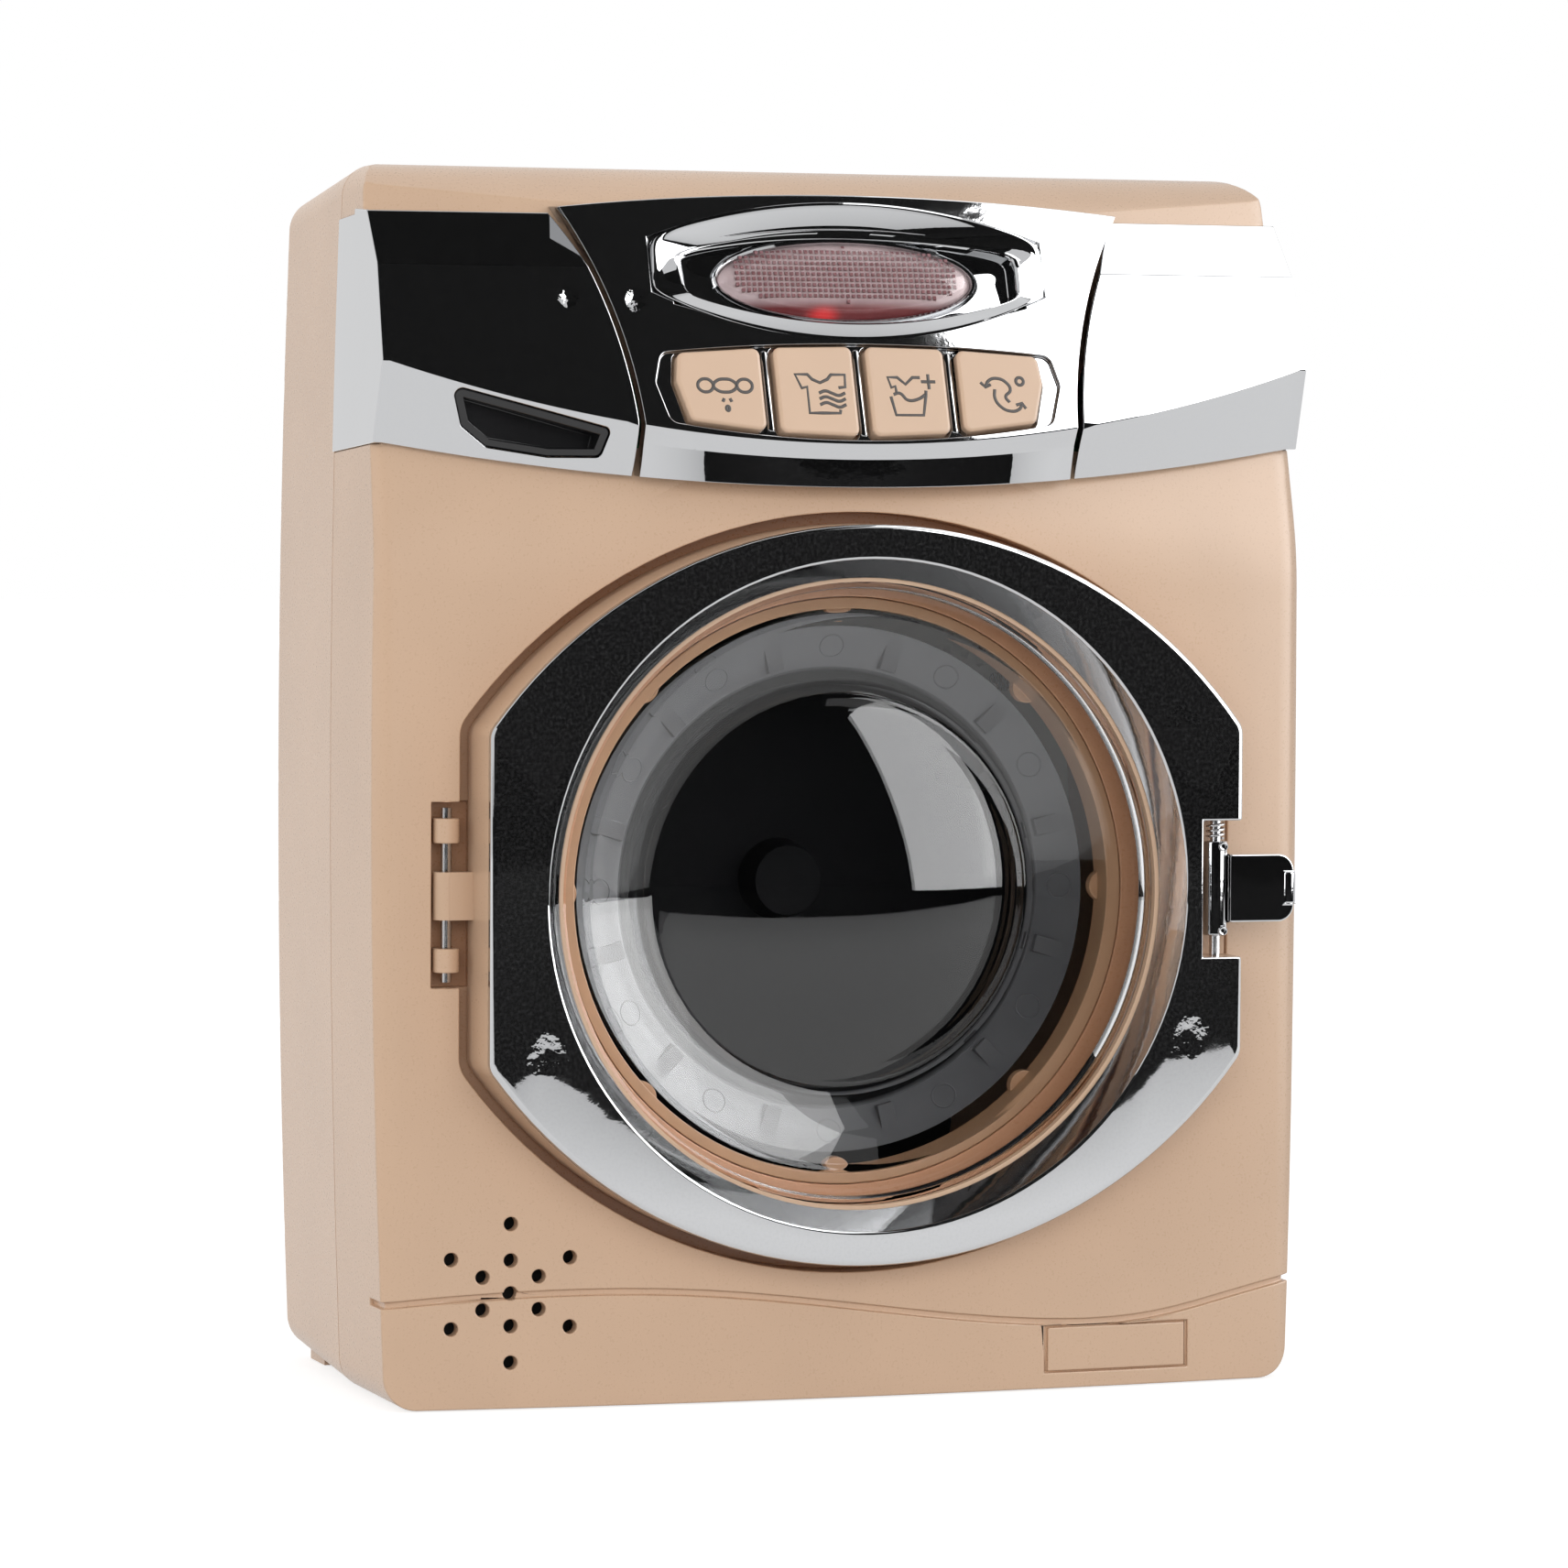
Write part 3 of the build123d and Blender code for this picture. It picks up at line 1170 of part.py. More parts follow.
with BuildPart() as speaker_cone:
    rod_y(SPEAKER_X, SPEAKER_Z, SPEAKER_FRONT_Y + 0.8, SPEAKER_FRONT_Y + 1.4, SPEAKER_R - 1.4)
    with Locations(Location((SPEAKER_X, SPEAKER_FRONT_Y + 0.8, SPEAKER_Z), (90, 0, 0))):
        Cone(4.0, 2.2, 0.8, align=(Align.CENTER, Align.CENTER, Align.MIN))
finish(speaker_cone, "speaker_cone")


with BuildPart() as battery_tray:
    x0, x1, y0, y1, z0, z1 = TRAY
    box_between(x0, x1, y0, y1, z0, z1)
    box_between(x0 + TRAY_WALL, x1 - TRAY_WALL, y0 + TRAY_WALL, y1 + 1,
                z0 + TRAY_WALL, z1 - TRAY_WALL, Mode.SUBTRACT)
    # Low ridges that keep the cells apart
    for lower, upper in zip(CELL_ZS, CELL_ZS[1:]):
        ridge_z = (lower + upper) / 2
        for side in (-1, 1):
            box_between(side * 15 - 2, side * 15 + 2, y0 + TRAY_WALL - 0.5, y0 + TRAY_WALL + 1.8,
                        ridge_z - 0.25, ridge_z + 0.25)
finish(battery_tray, "battery_tray")


with BuildPart() as battery_cells:
    for row, z in enumerate(CELL_ZS):
        tip = 1 if row % 2 else -1
        with Locations(Location((0, CELL_Y, z), (0, 90, 0))):
            Cylinder(CELL_R, CELL_LENGTH - 1.5)
        with Locations(Location((tip * (CELL_LENGTH - 1.5) / 2, CELL_Y, z), (0, tip * 90, 0))):
            Cylinder(2.7, 1.2, align=(Align.CENTER, Align.CENTER, Align.MIN))
finish(battery_cells, "battery_cells")


with BuildPart() as battery_contacts:
    # Sprung plates at both ends: each presses a tongue against its cell
    for row, z in enumerate(CELL_ZS):
        for side in (-1, 1):
            wall_x = side * (TRAY[1] - TRAY_WALL)
            tip = 1 if row % 2 else -1
            cell_x = side * ((CELL_LENGTH - 1.5) / 2 + (1.2 if tip == side else 0.0))
            inner = wall_x - side * 0.4
            box_between(min(wall_x, inner), max(wall_x, inner), CELL_Y - 5, CELL_Y + 5,
                        z - 5, z + 5)
            box_between(min(cell_x, wall_x), max(cell_x, wall_x), CELL_Y - 2, CELL_Y + 2,
                        z - 0.3, z + 0.3)
            tongue = cell_x + side * 0.4
            box_between(min(cell_x, tongue), max(cell_x, tongue), CELL_Y - 2, CELL_Y + 2,
                        z - 3, z + 3)
finish(battery_contacts, "battery_contacts")


with BuildPart() as battery_door:
    x0, x1, z0, z1 = DOOR_REBATE
    box_between(x0 + 0.3, x1 - 0.3, BACK_Y - 1.3, BACK_Y, z0 + 0.3, z1 - 0.3)
    fillet(battery_door.edges().filter_by(Axis.Y), 1.5)
    # Stiffening ribs inside and grip lines outside
    for x in (-18, 0, 18):
        box_between(x - 0.6, x + 0.6, BACK_Y - 2.6, BACK_Y - 1.2, 9, 47)
    for step in range(5):
        z = 12 + 2.4 * step
        box_between(-10, 10, BACK_Y - 0.4, BACK_Y + 1, z - 0.4, z + 0.4, Mode.SUBTRACT)
    rod_y(0, DOOR_SCREW_Z, BACK_Y - 2, BACK_Y + 1, 1.3, Mode.SUBTRACT)
    rod_y(0, DOOR_SCREW_Z, BACK_Y - 0.7, BACK_Y + 1, 2.2, Mode.SUBTRACT)
finish(battery_door, "battery_door")


def cross_head(x, z, y, head, radius, length, shank, slot):
    """A cross-head screw along Y in the open builder; its head faces the back."""
    rod_y(x, z, y, y + head, radius)
    rod_y(x, z, y - length, y, shank)
    for wide, high in ((1.1 * radius, slot), (slot, 1.1 * radius)):
        box_between(x - wide / 2, x + wide / 2, y + head / 2, y + head + 1,
                    z - high / 2, z + high / 2, Mode.SUBTRACT)


with BuildPart() as battery_door_screw:
    cross_head(0, DOOR_SCREW_Z, BACK_Y - 0.7, 0.6, 2.1, 4.3, 1.2, 0.5)
finish(battery_door_screw, "battery_door_screw")


with BuildPart() as case_screws:
    for x, z in CASE_SCREWS:
        cross_head(x, z, 4.0, 1.6, 2.8, 15.0, 1.25, 0.55)
finish(case_screws, "case_screws")


with BuildPart() as power_switch:
    box_between(SWITCH_X - 7, SWITCH_X + 7, 27.0, BACK_Y - 4.0, SWITCH_Z - 3.5, SWITCH_Z + 3.5)
    box_between(SWITCH_X - 4.0, SWITCH_X + 4.0, 29.0, BACK_Y - 3.9, SWITCH_Z - 1.9,
                SWITCH_Z + 1.9, Mode.SUBTRACT)
finish(power_switch, "power_switch")


with BuildPart() as switch_knob:
    x = SWITCH_X - SWITCH_TRAVEL / 2
    box_between(x - 2.2, x + 2.2, 29.4, BACK_Y - 0.6, SWITCH_Z - 1.6, SWITCH_Z + 1.6)
    for step in (-1, 0, 1):
        box_between(x + step - 0.25, x + step + 0.25, BACK_Y - 1.0, BACK_Y, SWITCH_Z - 2,
                    SWITCH_Z + 2, Mode.SUBTRACT)
finish(switch_knob, "switch_knob")
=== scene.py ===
# %% [markdown]
# # Dressing a toy washing machine
# The toy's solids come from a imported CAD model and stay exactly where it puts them. This
# script gives them their finishes, adds the fine pieces that they leave out, and sets up the
# light table, the lamps and the camera of a product photograph. Everything is in metres, with
# the origin on the table under the middle of the machine.

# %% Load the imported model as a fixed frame
from math import atan2, cos, pi, radians, sin, sqrt

import bmesh
import bpy
from mathutils import Matrix, Vector
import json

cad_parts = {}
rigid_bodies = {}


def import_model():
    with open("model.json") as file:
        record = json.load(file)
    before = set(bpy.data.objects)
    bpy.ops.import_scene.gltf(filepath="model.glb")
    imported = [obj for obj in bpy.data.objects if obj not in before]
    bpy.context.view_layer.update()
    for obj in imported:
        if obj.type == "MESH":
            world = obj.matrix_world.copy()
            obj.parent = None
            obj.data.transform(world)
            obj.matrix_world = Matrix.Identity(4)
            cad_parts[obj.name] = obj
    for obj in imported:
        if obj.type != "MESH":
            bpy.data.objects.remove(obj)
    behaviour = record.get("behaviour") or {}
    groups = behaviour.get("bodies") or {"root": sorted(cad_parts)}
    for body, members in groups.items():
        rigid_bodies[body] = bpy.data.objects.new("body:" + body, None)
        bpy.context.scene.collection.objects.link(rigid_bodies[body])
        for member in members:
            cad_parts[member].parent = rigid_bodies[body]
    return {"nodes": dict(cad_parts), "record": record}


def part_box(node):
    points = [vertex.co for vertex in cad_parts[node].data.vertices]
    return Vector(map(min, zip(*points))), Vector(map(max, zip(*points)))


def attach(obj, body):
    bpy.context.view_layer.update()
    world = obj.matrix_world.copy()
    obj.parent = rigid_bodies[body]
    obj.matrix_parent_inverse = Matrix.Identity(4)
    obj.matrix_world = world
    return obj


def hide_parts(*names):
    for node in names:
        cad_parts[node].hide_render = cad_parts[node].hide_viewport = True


for leftover in list(bpy.data.objects):
    bpy.data.objects.remove(leftover)
MM = 0.001
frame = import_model()
nodes = frame["nodes"]
slot_of = {part["node"]: part["material_slot"] for part in frame["record"]["subparts"]}
body_of = {node: body for body, group in frame["record"]["behaviour"]["bodies"].items()
           for node in group}
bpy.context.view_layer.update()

# %% [markdown]
# ## The camera
# A product photograph is taken with a long lens from a little way off, so upright edges stay
# nearly parallel. This camera stands at the left of the door, almost a metre away and
# slightly above the middle.

# %% Camera at the photograph's viewing angle
CAMERA_PLACE = Vector((-0.29725, -0.89705, 0.12640))
CAMERA_AZIMUTH = radians(-18.263)
CAMERA_ELEVATION = radians(2.588)
CAMERA_ROLL = radians(0.306)
CAMERA_LENS = 153.05


def show(thing):
    """Put an object into the scene."""
    bpy.context.scene.collection.objects.link(thing)
    return thing


def set_all(thing, **values):
    """Give a thing's settings their values by name."""
    for setting, value in values.items():
        setattr(thing, setting, value)


def camera_turn(azimuth, elevation, roll):
    """A rotation whose columns are the camera's right, up and backwards."""
    back = Vector((sin(azimuth) * cos(elevation), -cos(azimuth) * cos(elevation), sin(elevation)))
    level = Vector((cos(azimuth), sin(azimuth), 0))
    up = back.cross(level)
    right = cos(roll) * level + sin(roll) * up
    top = cos(roll) * up - sin(roll) * level
    return Matrix((right, top, back)).transposed().to_4x4()


camera_data = bpy.data.cameras.new("camera")
set_all(camera_data, lens=CAMERA_LENS, sensor_width=36, clip_start=0.05, clip_end=50)
camera = show(bpy.data.objects.new("camera", camera_data))
camera.matrix_world = Matrix.Translation(CAMERA_PLACE) @ camera_turn(
    CAMERA_AZIMUTH, CAMERA_ELEVATION, CAMERA_ROLL)
bpy.context.scene.camera = camera
bpy.context.scene.view_settings.view_transform = "Standard"
print("camera distance", round(CAMERA_PLACE.length, 3))

# %% [markdown]
# ## Small helpers for shader trees
# Every finish is a tree of nodes on the Principled shader. A node's input has a plain value
# or follows another node's output, and one helper does both.

# %% Helpers: materials and nodes


def put(tree, value, socket):
    """Link another node's output to a socket, or give the socket a plain value."""
    if isinstance(value, bpy.types.NodeSocket):
        tree.links.new(value, socket)
    else:
        socket.default_value = value


def feed(tree, node, **sockets):
    """Fill a node's sockets by name, with _ for a space."""
    for name, value in sockets.items():
        put(tree, value, node.inputs[name.replace("_", " ")])


def new_material(name, **values):
    """Start a material; returns it, its tree and its Principled shader."""
    material = bpy.data.materials.new(name)
    material.use_nodes = True
    shader = material.node_tree.nodes["Principled BSDF"]
    feed(material.node_tree, shader, **values)
    return material, material.node_tree, shader


def add_node(tree, kind, values=None, **settings):
    """Add a node with its settings, and fill its sockets by name or number."""
    node = tree.nodes.new(kind)
    set_all(node, **settings)
    for socket, value in (values or {}).items():
        put(tree, value, node.inputs[socket])
    return node


def made_by(tree, kind, values=None, **settings):
    """Add a node and return its first output."""
    return add_node(tree, kind, values, **settings).outputs[0]


print("node helpers ready")

# %% [markdown]
# A pattern has to know where on the piece it is. Each piece's origin is the machine's own,
# so Object coordinates give every pattern its place and its size in millimetres.

# %% Helpers: places and noise
DOOR_Z = 69.9


def vector_math(tree, operation, *inputs):
    """A sum, product or length of vectors: its outputs are Vector and Value."""
    return add_node(tree, "ShaderNodeVectorMath", dict(enumerate(inputs)), operation=operation).outputs


def object_point(tree, scale=(1, 1, 1), shift=(0, 0, 0), turn=(0, 0, 0)):
    """A point on the piece in millimetres, shifted first and then scaled and turned."""
    place = add_node(tree, "ShaderNodeTexCoord").outputs["Object"]
    moved = vector_math(tree, "SUBTRACT", place, [side * MM for side in shift])["Vector"]
    return made_by(tree, "ShaderNodeMapping", {
        "Vector": moved, "Scale": [share / MM for share in scale], "Rotation": turn})


def axes(tree, shift=(0, 0, 0)):
    """The point's x, y and z, after a shift."""
    return add_node(tree, "ShaderNodeSeparateXYZ", {0: object_point(tree, shift=shift)}).outputs


def length(tree, point):
    """The distance of a point from zero."""
    return vector_math(tree, "LENGTH", point)["Value"]


def from_door_axis(tree):
    """The point's distance from the door's axis."""
    return length(tree, object_point(tree, (1, 0, 1), (0, 0, DOOR_Z)))


def spots(tree, size, detail=2.0, stretch=(1, 1, 1), output=0):
    """Noise with spots about size millimetres wide; output 0 is a value, 1 is a vector."""
    point = object_point(tree, [share / size for share in stretch])
    return add_node(tree, "ShaderNodeTexNoise", {
        "Vector": point, "Scale": 1.0, "Detail": detail}).outputs[output]


print("place helpers ready")

# %% [markdown]
# What a pattern gives lies between 0 and 1. These helpers map it on to a range, reckon with
# it, mix two colours by it, or raise the surface by it.

# %% Helpers: ranges, colours and relief


def spread(tree, value, low, high, start=0.3, end=0.7, kind="LINEAR"):
    """Map a value between start and end on to the range low to high."""
    return made_by(tree, "ShaderNodeMapRange", {0: value, 1: start, 2: end, 3: low, 4: high},
                   interpolation_type=kind)


def between(tree, share, first, second):
    """A colour between two colours, by a share from 0 to 1."""
    mix = add_node(tree, "ShaderNodeMix", {0: share, 6: first, 7: second}, data_type="RGBA")
    return mix.outputs[2]


def calc(tree, operation, first, second=0.0):
    """A sum, product or comparison of one or two values."""
    return made_by(tree, "ShaderNodeMath", {0: first, 1: second}, operation=operation)


def relief(tree, shader, height, depth, below=None):
    """Raise the surface by depth millimetres where height is 1; stack it on below."""
    normal = {"Normal": below} if below else {}
    bump = made_by(tree, "ShaderNodeBump", {
        "Strength": 1.0, "Distance": depth * MM, "Height": height, **normal})
    feed(tree, shader, Normal=bump)
    return bump


def shade(color, share):
    """A colour made lighter or darker by a share, with full alpha."""
    return [min(1.0, channel * share) for channel in color[:3]] + [1.0]


print("mixing helpers ready")

# %% [markdown]
# ## Moulded plastic
# The cabinet is glossy injection-moulded plastic. Close up its skin isn't a mirror: a very
# fine spark-eroded grain from the mould breaks up the highlight, and the colour drifts by
# a hair. Noise at two scales gives both.

# %% Moulded plastics
COLOR_DRIFT = 22.0
SKIN_WAVES = 9.0


def moulded(name, color, roughness, grain=0.35, depth=0.0012, share=0.03):
    """A moulded plastic: fine grain in the relief, a slow drift in the colour."""
    material, tree, shader = new_material(name)
    cloud = spread(tree, spots(tree, COLOR_DRIFT), 0, 1)
    skin = spots(tree, grain, 3.0)
    tint = between(tree, cloud, shade(color, 1 - share), shade(color, 1 + share))
    dullness = spread(tree, skin, roughness * 0.85, roughness * 1.15)
    feed(tree, shader, Base_Color=tint, Roughness=dullness)
    waves = relief(tree, shader, spots(tree, SKIN_WAVES), depth * 4)
    relief(tree, shader, skin, depth, waves)
    return material


CABINET_TAN = (0.640, 0.440, 0.300)
KEY_TAN = (0.680, 0.476, 0.335)
finishes = {
    "cabinet_plastic": moulded("tan_cabinet", CABINET_TAN, 0.30),
    "door_plastic": moulded("tan_door", shade(CABINET_TAN, 0.97), 0.32),
    "key_plastic": moulded("tan_key", KEY_TAN, 0.34, grain=0.22),
    "black_plastic": moulded("black_moulding", (0.012, 0.012, 0.013), 0.22, share=0.2),
    "gear_plastic": moulded("natural_nylon", (0.78, 0.76, 0.68), 0.45, share=0.05),
    "silicone": moulded("grey_rubber", (0.50, 0.51, 0.51), 0.65, grain=0.15),
    "speaker_paper": moulded("black_paper", (0.02, 0.02, 0.02), 0.85, grain=0.6, depth=0.02),
}
print("plastics", sorted(finishes))

# %% [markdown]
# Light that gets into the door recess bounces from one tan wall to the next, and comes out
# darker and much warmer. That shade is painted into the cabinet's base colour, which turns
# warmer and darker with the depth behind the front's shallow arc, a little in the port and
# more in the narrow gap round the door.

# %% Painted shade in the cabinet's hollows
FRONT_Y = -28.5
FRONT_ARC = 1244
PORT_EDGE = 47.5
POCKET_EDGE = 61.5
SHADE_END_Y = -12.0
SHADE_DEPTHS = (1.8, 4.2)
# Painted shade colours: a warmer tan in the port, a dark brown in the gap round the door.
PORT_PAINTED_SHADE = (0.61, 0.32, 0.18, 1)
GAP_PAINTED_SHADE = (0.34, 0.16, 0.08, 1)


def paint_hollow_shade(material):
    """Paint shade, a warmer and darker tan, into the base colour behind the front skin."""
    tree = material.node_tree
    base = tree.nodes["Principled BSDF"].inputs["Base Color"]
    skin_color = base.links[0].from_socket
    x, y = axes(tree)[:2]
    around = from_door_axis(tree)
    arc = calc(tree, "DIVIDE", calc(tree, "MULTIPLY", x, x), FRONT_ARC)
    depth = calc(tree, "SUBTRACT", calc(tree, "SUBTRACT", y, arc), FRONT_Y)
    near = calc(tree, "MULTIPLY", calc(tree, "LESS_THAN", around, POCKET_EDGE),
                calc(tree, "LESS_THAN", y, SHADE_END_Y))
    share = calc(tree, "MULTIPLY", near, spread(tree, depth, 0, 1, *SHADE_DEPTHS))
    # The painted shade is mixed in where the point lies deep behind the front skin.
    painted_shade = between(tree, calc(tree, "GREATER_THAN", around, PORT_EDGE), PORT_PAINTED_SHADE, GAP_PAINTED_SHADE)
    put(tree, between(tree, share, skin_color, painted_shade), base)


paint_hollow_shade(finishes["cabinet_plastic"])
print("hollows ready")

# %% [markdown]
# The drum's smoky grey front ring catches the light, while its inside is a deep hollow that
# a real camera sees as black. That shade is painted into the finish, which turns black and
# dull inwards from the mouth: one ramp follows the distance from the drum's axis, and one
# the depth.

# %% Smoky drum with painted shade inside
MOUTH_R = 31.0
MOUTH_Y = -15.2
MOUTH_BLEND = 0.6
SMOKE_DARK = (0.072, 0.073, 0.077, 1)
SMOKE_LIGHT = (0.108, 0.109, 0.113, 1)
# Black painted as the shade deep inside the drum.
PAINTED_HOLLOW_SHADE = (0.004, 0.004, 0.0045, 1)


def smoky_drum_painted_shade(name):
    """Grey on the front ring; painted black shade and a dull skin inside the mouth."""
    material, tree, shader = new_material(name)
    hole = spread(tree, from_door_axis(tree), 1, 0, MOUTH_R - MOUTH_BLEND, MOUTH_R)
    deep = spread(tree, axes(tree)[1], 0, 1, MOUTH_Y, MOUTH_Y + MOUTH_BLEND)
    inside = calc(tree, "MAXIMUM", hole, deep)
    cloud = between(tree, spots(tree, 9.0), SMOKE_DARK, SMOKE_LIGHT)
    feed(tree, shader, Base_Color=between(tree, inside, cloud, PAINTED_HOLLOW_SHADE),
         Roughness=spread(tree, inside, 0.24, 0.7, 0, 1),
         Specular_IOR_Level=spread(tree, inside, 0.5, 0.08, 0, 1))
    relief(tree, shader, spots(tree, 1.4), 0.008)
    return material


finishes["drum_plastic"] = smoky_drum_painted_shade("smoke_drum_painted_shade")
# A darker, warmer copy of the tan: painted shade for the dim tube inside the door.
port_painted_shade = moulded("tan_port_painted_shade", (0.50, 0.290, 0.165), 0.34)
print("drum finish ready")

# %% [markdown]
# ## Chrome on plastic
# The console and the door plate are plastic with a vacuum-plated mirror skin. It is never
# quite flat: it has slow waves, a finer orange peel, and shallow sink marks where screw posts
# sit behind it. They make the edge of the light table look ragged in the door plate.

# %% Chrome plating with waves and sink marks
SINK_MARKS = ((-46.4, 49.2), (46.7, 50.0), (45.4, 93.0))
PIN_MARKS = ((-40.6, 151.5), (-31.0, 151.4))
WANDER = 0.9
WANDER_SIZE = 2.0
CHROME = (0.51, 0.515, 0.525, 1)
WAVE_DEPTH = 0.05


def sink_marks(tree, places, radius):
    """Shallow uneven dips at places (x, z), each about radius wide."""
    total = 0.0
    wander = spots(tree, WANDER_SIZE, 3.0, output=1)
    for x, z in places:
        point = object_point(tree, (1 / radius, 0, 1 / radius), (x, 0, z))
        bent = vector_math(tree, "MULTIPLY_ADD", wander, (WANDER, 0, WANDER), point)["Vector"]
        reach = vector_math(tree, "DISTANCE", bent, (WANDER / 2, 0, WANDER / 2))["Value"]
        total = calc(tree, "ADD", total, spread(tree, reach, 1, 0, 0, 1, "SMOOTHERSTEP"))
    return total


def plated(name, dust):
    """Bright chrome plating; dust is the share of dull specks on it."""
    material, tree, shader = new_material(name, Base_Color=CHROME)
    feed(tree, shader, Roughness=spread(tree, spots(tree, 5.0, 4.0), 0.012, 0.035),
         Metallic=spread(tree, spots(tree, 0.45, 3.0), 1 - dust / 8, 1 - dust, 0.45, 0.75))
    waves = relief(tree, shader, spots(tree, 16.0, 1.0), WAVE_DEPTH)
    peel = relief(tree, shader, spots(tree, 2.2, 3.0), WAVE_DEPTH * 0.07, waves)
    wide = relief(tree, shader, sink_marks(tree, SINK_MARKS, 3.4), -0.05, peel)
    relief(tree, shader, sink_marks(tree, PIN_MARKS, 1.9), -0.16, wide)
    return material


finishes["chrome_plating"] = plated("chrome_plate", 0.012)
dusty_chrome = plated("chrome_door", 0.055)
print("chrome with", len(SINK_MARKS) + len(PIN_MARKS), "sink marks")

# %% [markdown]
# ## Clear and red plastic
# The door window is one thin clear moulding, and the display lens is clear plastic with a
# little red in it. A faint relief keeps their reflections alive, as in real polystyrene.

# %% Clear window and red lens


def clear(name, color, roughness, ior, wave):
    """A transparent plastic with slow waves in its skin."""
    material, tree, shader = new_material(
        name, Base_Color=(*color, 1), Roughness=roughness, IOR=ior, Transmission_Weight=1.0)
    relief(tree, shader, spots(tree, 12.0, 1.0), wave)
    return material


finishes["clear_window"] = clear("window_clear", (0.93, 0.94, 0.95), 0.01, 1.43, 0.02)
finishes["red_lens"] = clear("lens_red", (0.96, 0.82, 0.82), 0.02, 1.5, 0.01)
print("clear plastics ready")

# %% [markdown]
# ## Metal and electrical parts
# Inside are turned shafts, screws, a bronze bush, a printed board and three cells. Metals
# are turned or drawn, so their scratches are stretched along one direction.

# %% Metals


def drawn_metal(name, color, roughness, stretch):
    """A bright metal with fine scratches along one direction."""
    material, tree, shader = new_material(name, Metallic=1.0)
    lines = spots(tree, 0.12, 2.0, stretch)
    cloud = spread(tree, spots(tree, 4.0), 0, 1)
    feed(tree, shader, Base_Color=between(tree, cloud, shade(color, 0.92), shade(color, 1.04)),
         Roughness=spread(tree, lines, roughness * 0.7, roughness * 1.4))
    relief(tree, shader, lines, 0.002)
    return material


finishes["steel"] = drawn_metal("drawn_steel", (0.62, 0.62, 0.63), 0.24, (1, 1, 0.06))
finishes["bronze"] = drawn_metal("sintered_bronze", (0.58, 0.38, 0.17), 0.36, (1, 0.2, 1))
print("metals ready")

# %% [markdown]
# The printed board is green lacquer over copper tracks: a brick pattern makes the tracks,
# raised by the thickness of the copper.

# %% Printed board
BOARD_LEAN = radians(70.7)


def printed_board(name):
    """Green board lacquer over raised copper tracks."""
    material, tree, shader = new_material(name, Roughness=0.3)
    tracks = add_node(tree, "ShaderNodeTexBrick", {
        "Vector": object_point(tree, (0.5, 0.5, 0.5), turn=(BOARD_LEAN, 0, 0)),
        "Color1": (0.010, 0.105, 0.040, 1), "Color2": (0.012, 0.125, 0.050, 1),
        "Mortar": (0.030, 0.240, 0.090, 1), "Scale": 1.0, "Mortar Size": 0.09,
        "Mortar Smooth": 0.2, "Brick Width": 1.6, "Row Height": 0.7})
    feed(tree, shader, Base_Color=tracks.outputs["Color"])
    relief(tree, shader, tracks.outputs["Fac"], 0.035)
    return material


finishes["circuit_board"] = printed_board("board_green")
print("board ready")

# %% [markdown]
# The cells lie along X and have a printed jacket with a pale band near one end. Of the red
# lamps on the board only one is lit, behind the display's lower left.

# %% Cells and lamps
BAND_START = 13.0
LIT_LAMP_X = -4.0


def cell_jacket(name):
    """A printed battery jacket with a pale band."""
    material, tree, shader = new_material(name, Roughness=0.28)
    band = spread(tree, axes(tree)[0], 0, 1, BAND_START, BAND_START + 0.3)
    feed(tree, shader, Base_Color=between(tree, band, (0.02, 0.05, 0.16, 1), (0.50, 0.50, 0.48, 1)))
    relief(tree, shader, spots(tree, 0.8), 0.01)
    return material


def lamp(name):
    """Red lamp bodies; the one at LIT_LAMP_X glows."""
    material, tree, shader = new_material(name, Base_Color=(0.5, 0.01, 0.008, 1), Roughness=0.12,
                                          Emission_Strength=6.0)
    away = spread(tree, calc(tree, "ABSOLUTE", axes(tree, (LIT_LAMP_X, 0, 0))[0]), 0, 1, 1.6, 2.0)
    feed(tree, shader, Emission_Color=between(tree, away, (1.0, 0.03, 0.02, 1), (0, 0, 0, 1)))
    relief(tree, shader, spots(tree, 0.6), 0.01)
    return material


finishes["battery_jacket"] = cell_jacket("cell_jacket")
finishes["lamp_red"] = lamp("lamp_body")
print(len(finishes), "finishes for", len(set(slot_of.values())), "slots")

# %% [markdown]
# ## Carrying the solids over
# A CAD node is shown as it is where its shape is right, and only takes its finish. Where
# rounded edges have to catch the light, a copy stands for the node: its flat areas become
# single faces, and a narrow bevel runs along every sharp edge.

# %% Finishes on the solids themselves
for name, node in nodes.items():
    node.data.materials.clear()
    node.data.materials.append(finishes[slot_of[name]])
print("finishes set on", len(nodes), "solids")

# %% [markdown]
# A piece that the scene adds rides on the body that carries it on the real toy, so the
# door's pieces swing with the door. It takes the finish of a material slot of the record,
# unless it is given a finish of its own.

# %% Pieces and modifiers


def add_piece(name, mesh, body, slot, finish=None):
    """Make a mesh a piece that rides on a body, with a given finish or else its slot's."""
    piece = show(bpy.data.objects.new(name, mesh))
    mesh.materials.clear()
    mesh.materials.append(finish or finishes[slot])
    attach(piece, body)
    return piece


def settled_mesh(piece):
    """The mesh that a piece's modifiers and curves make."""
    view = bpy.context.evaluated_depsgraph_get()
    return bpy.data.meshes.new_from_object(piece.evaluated_get(view))


print("pieces ride on", sorted(set(body_of.values())))

# %% [markdown]
# A flat area with an opening can't become one face, because a face has no hole. The flat
# areas are merged inside eight sectors round the door instead, like slices of a cake, and
# the console's inside upright slabs. The door frame and the rear shell have many steps and
# holes in their backs, so they stay as their solids have them.

# %% Merging flat areas
SHARP = radians(30)
SECTORS = 8
SLAB = 2.5


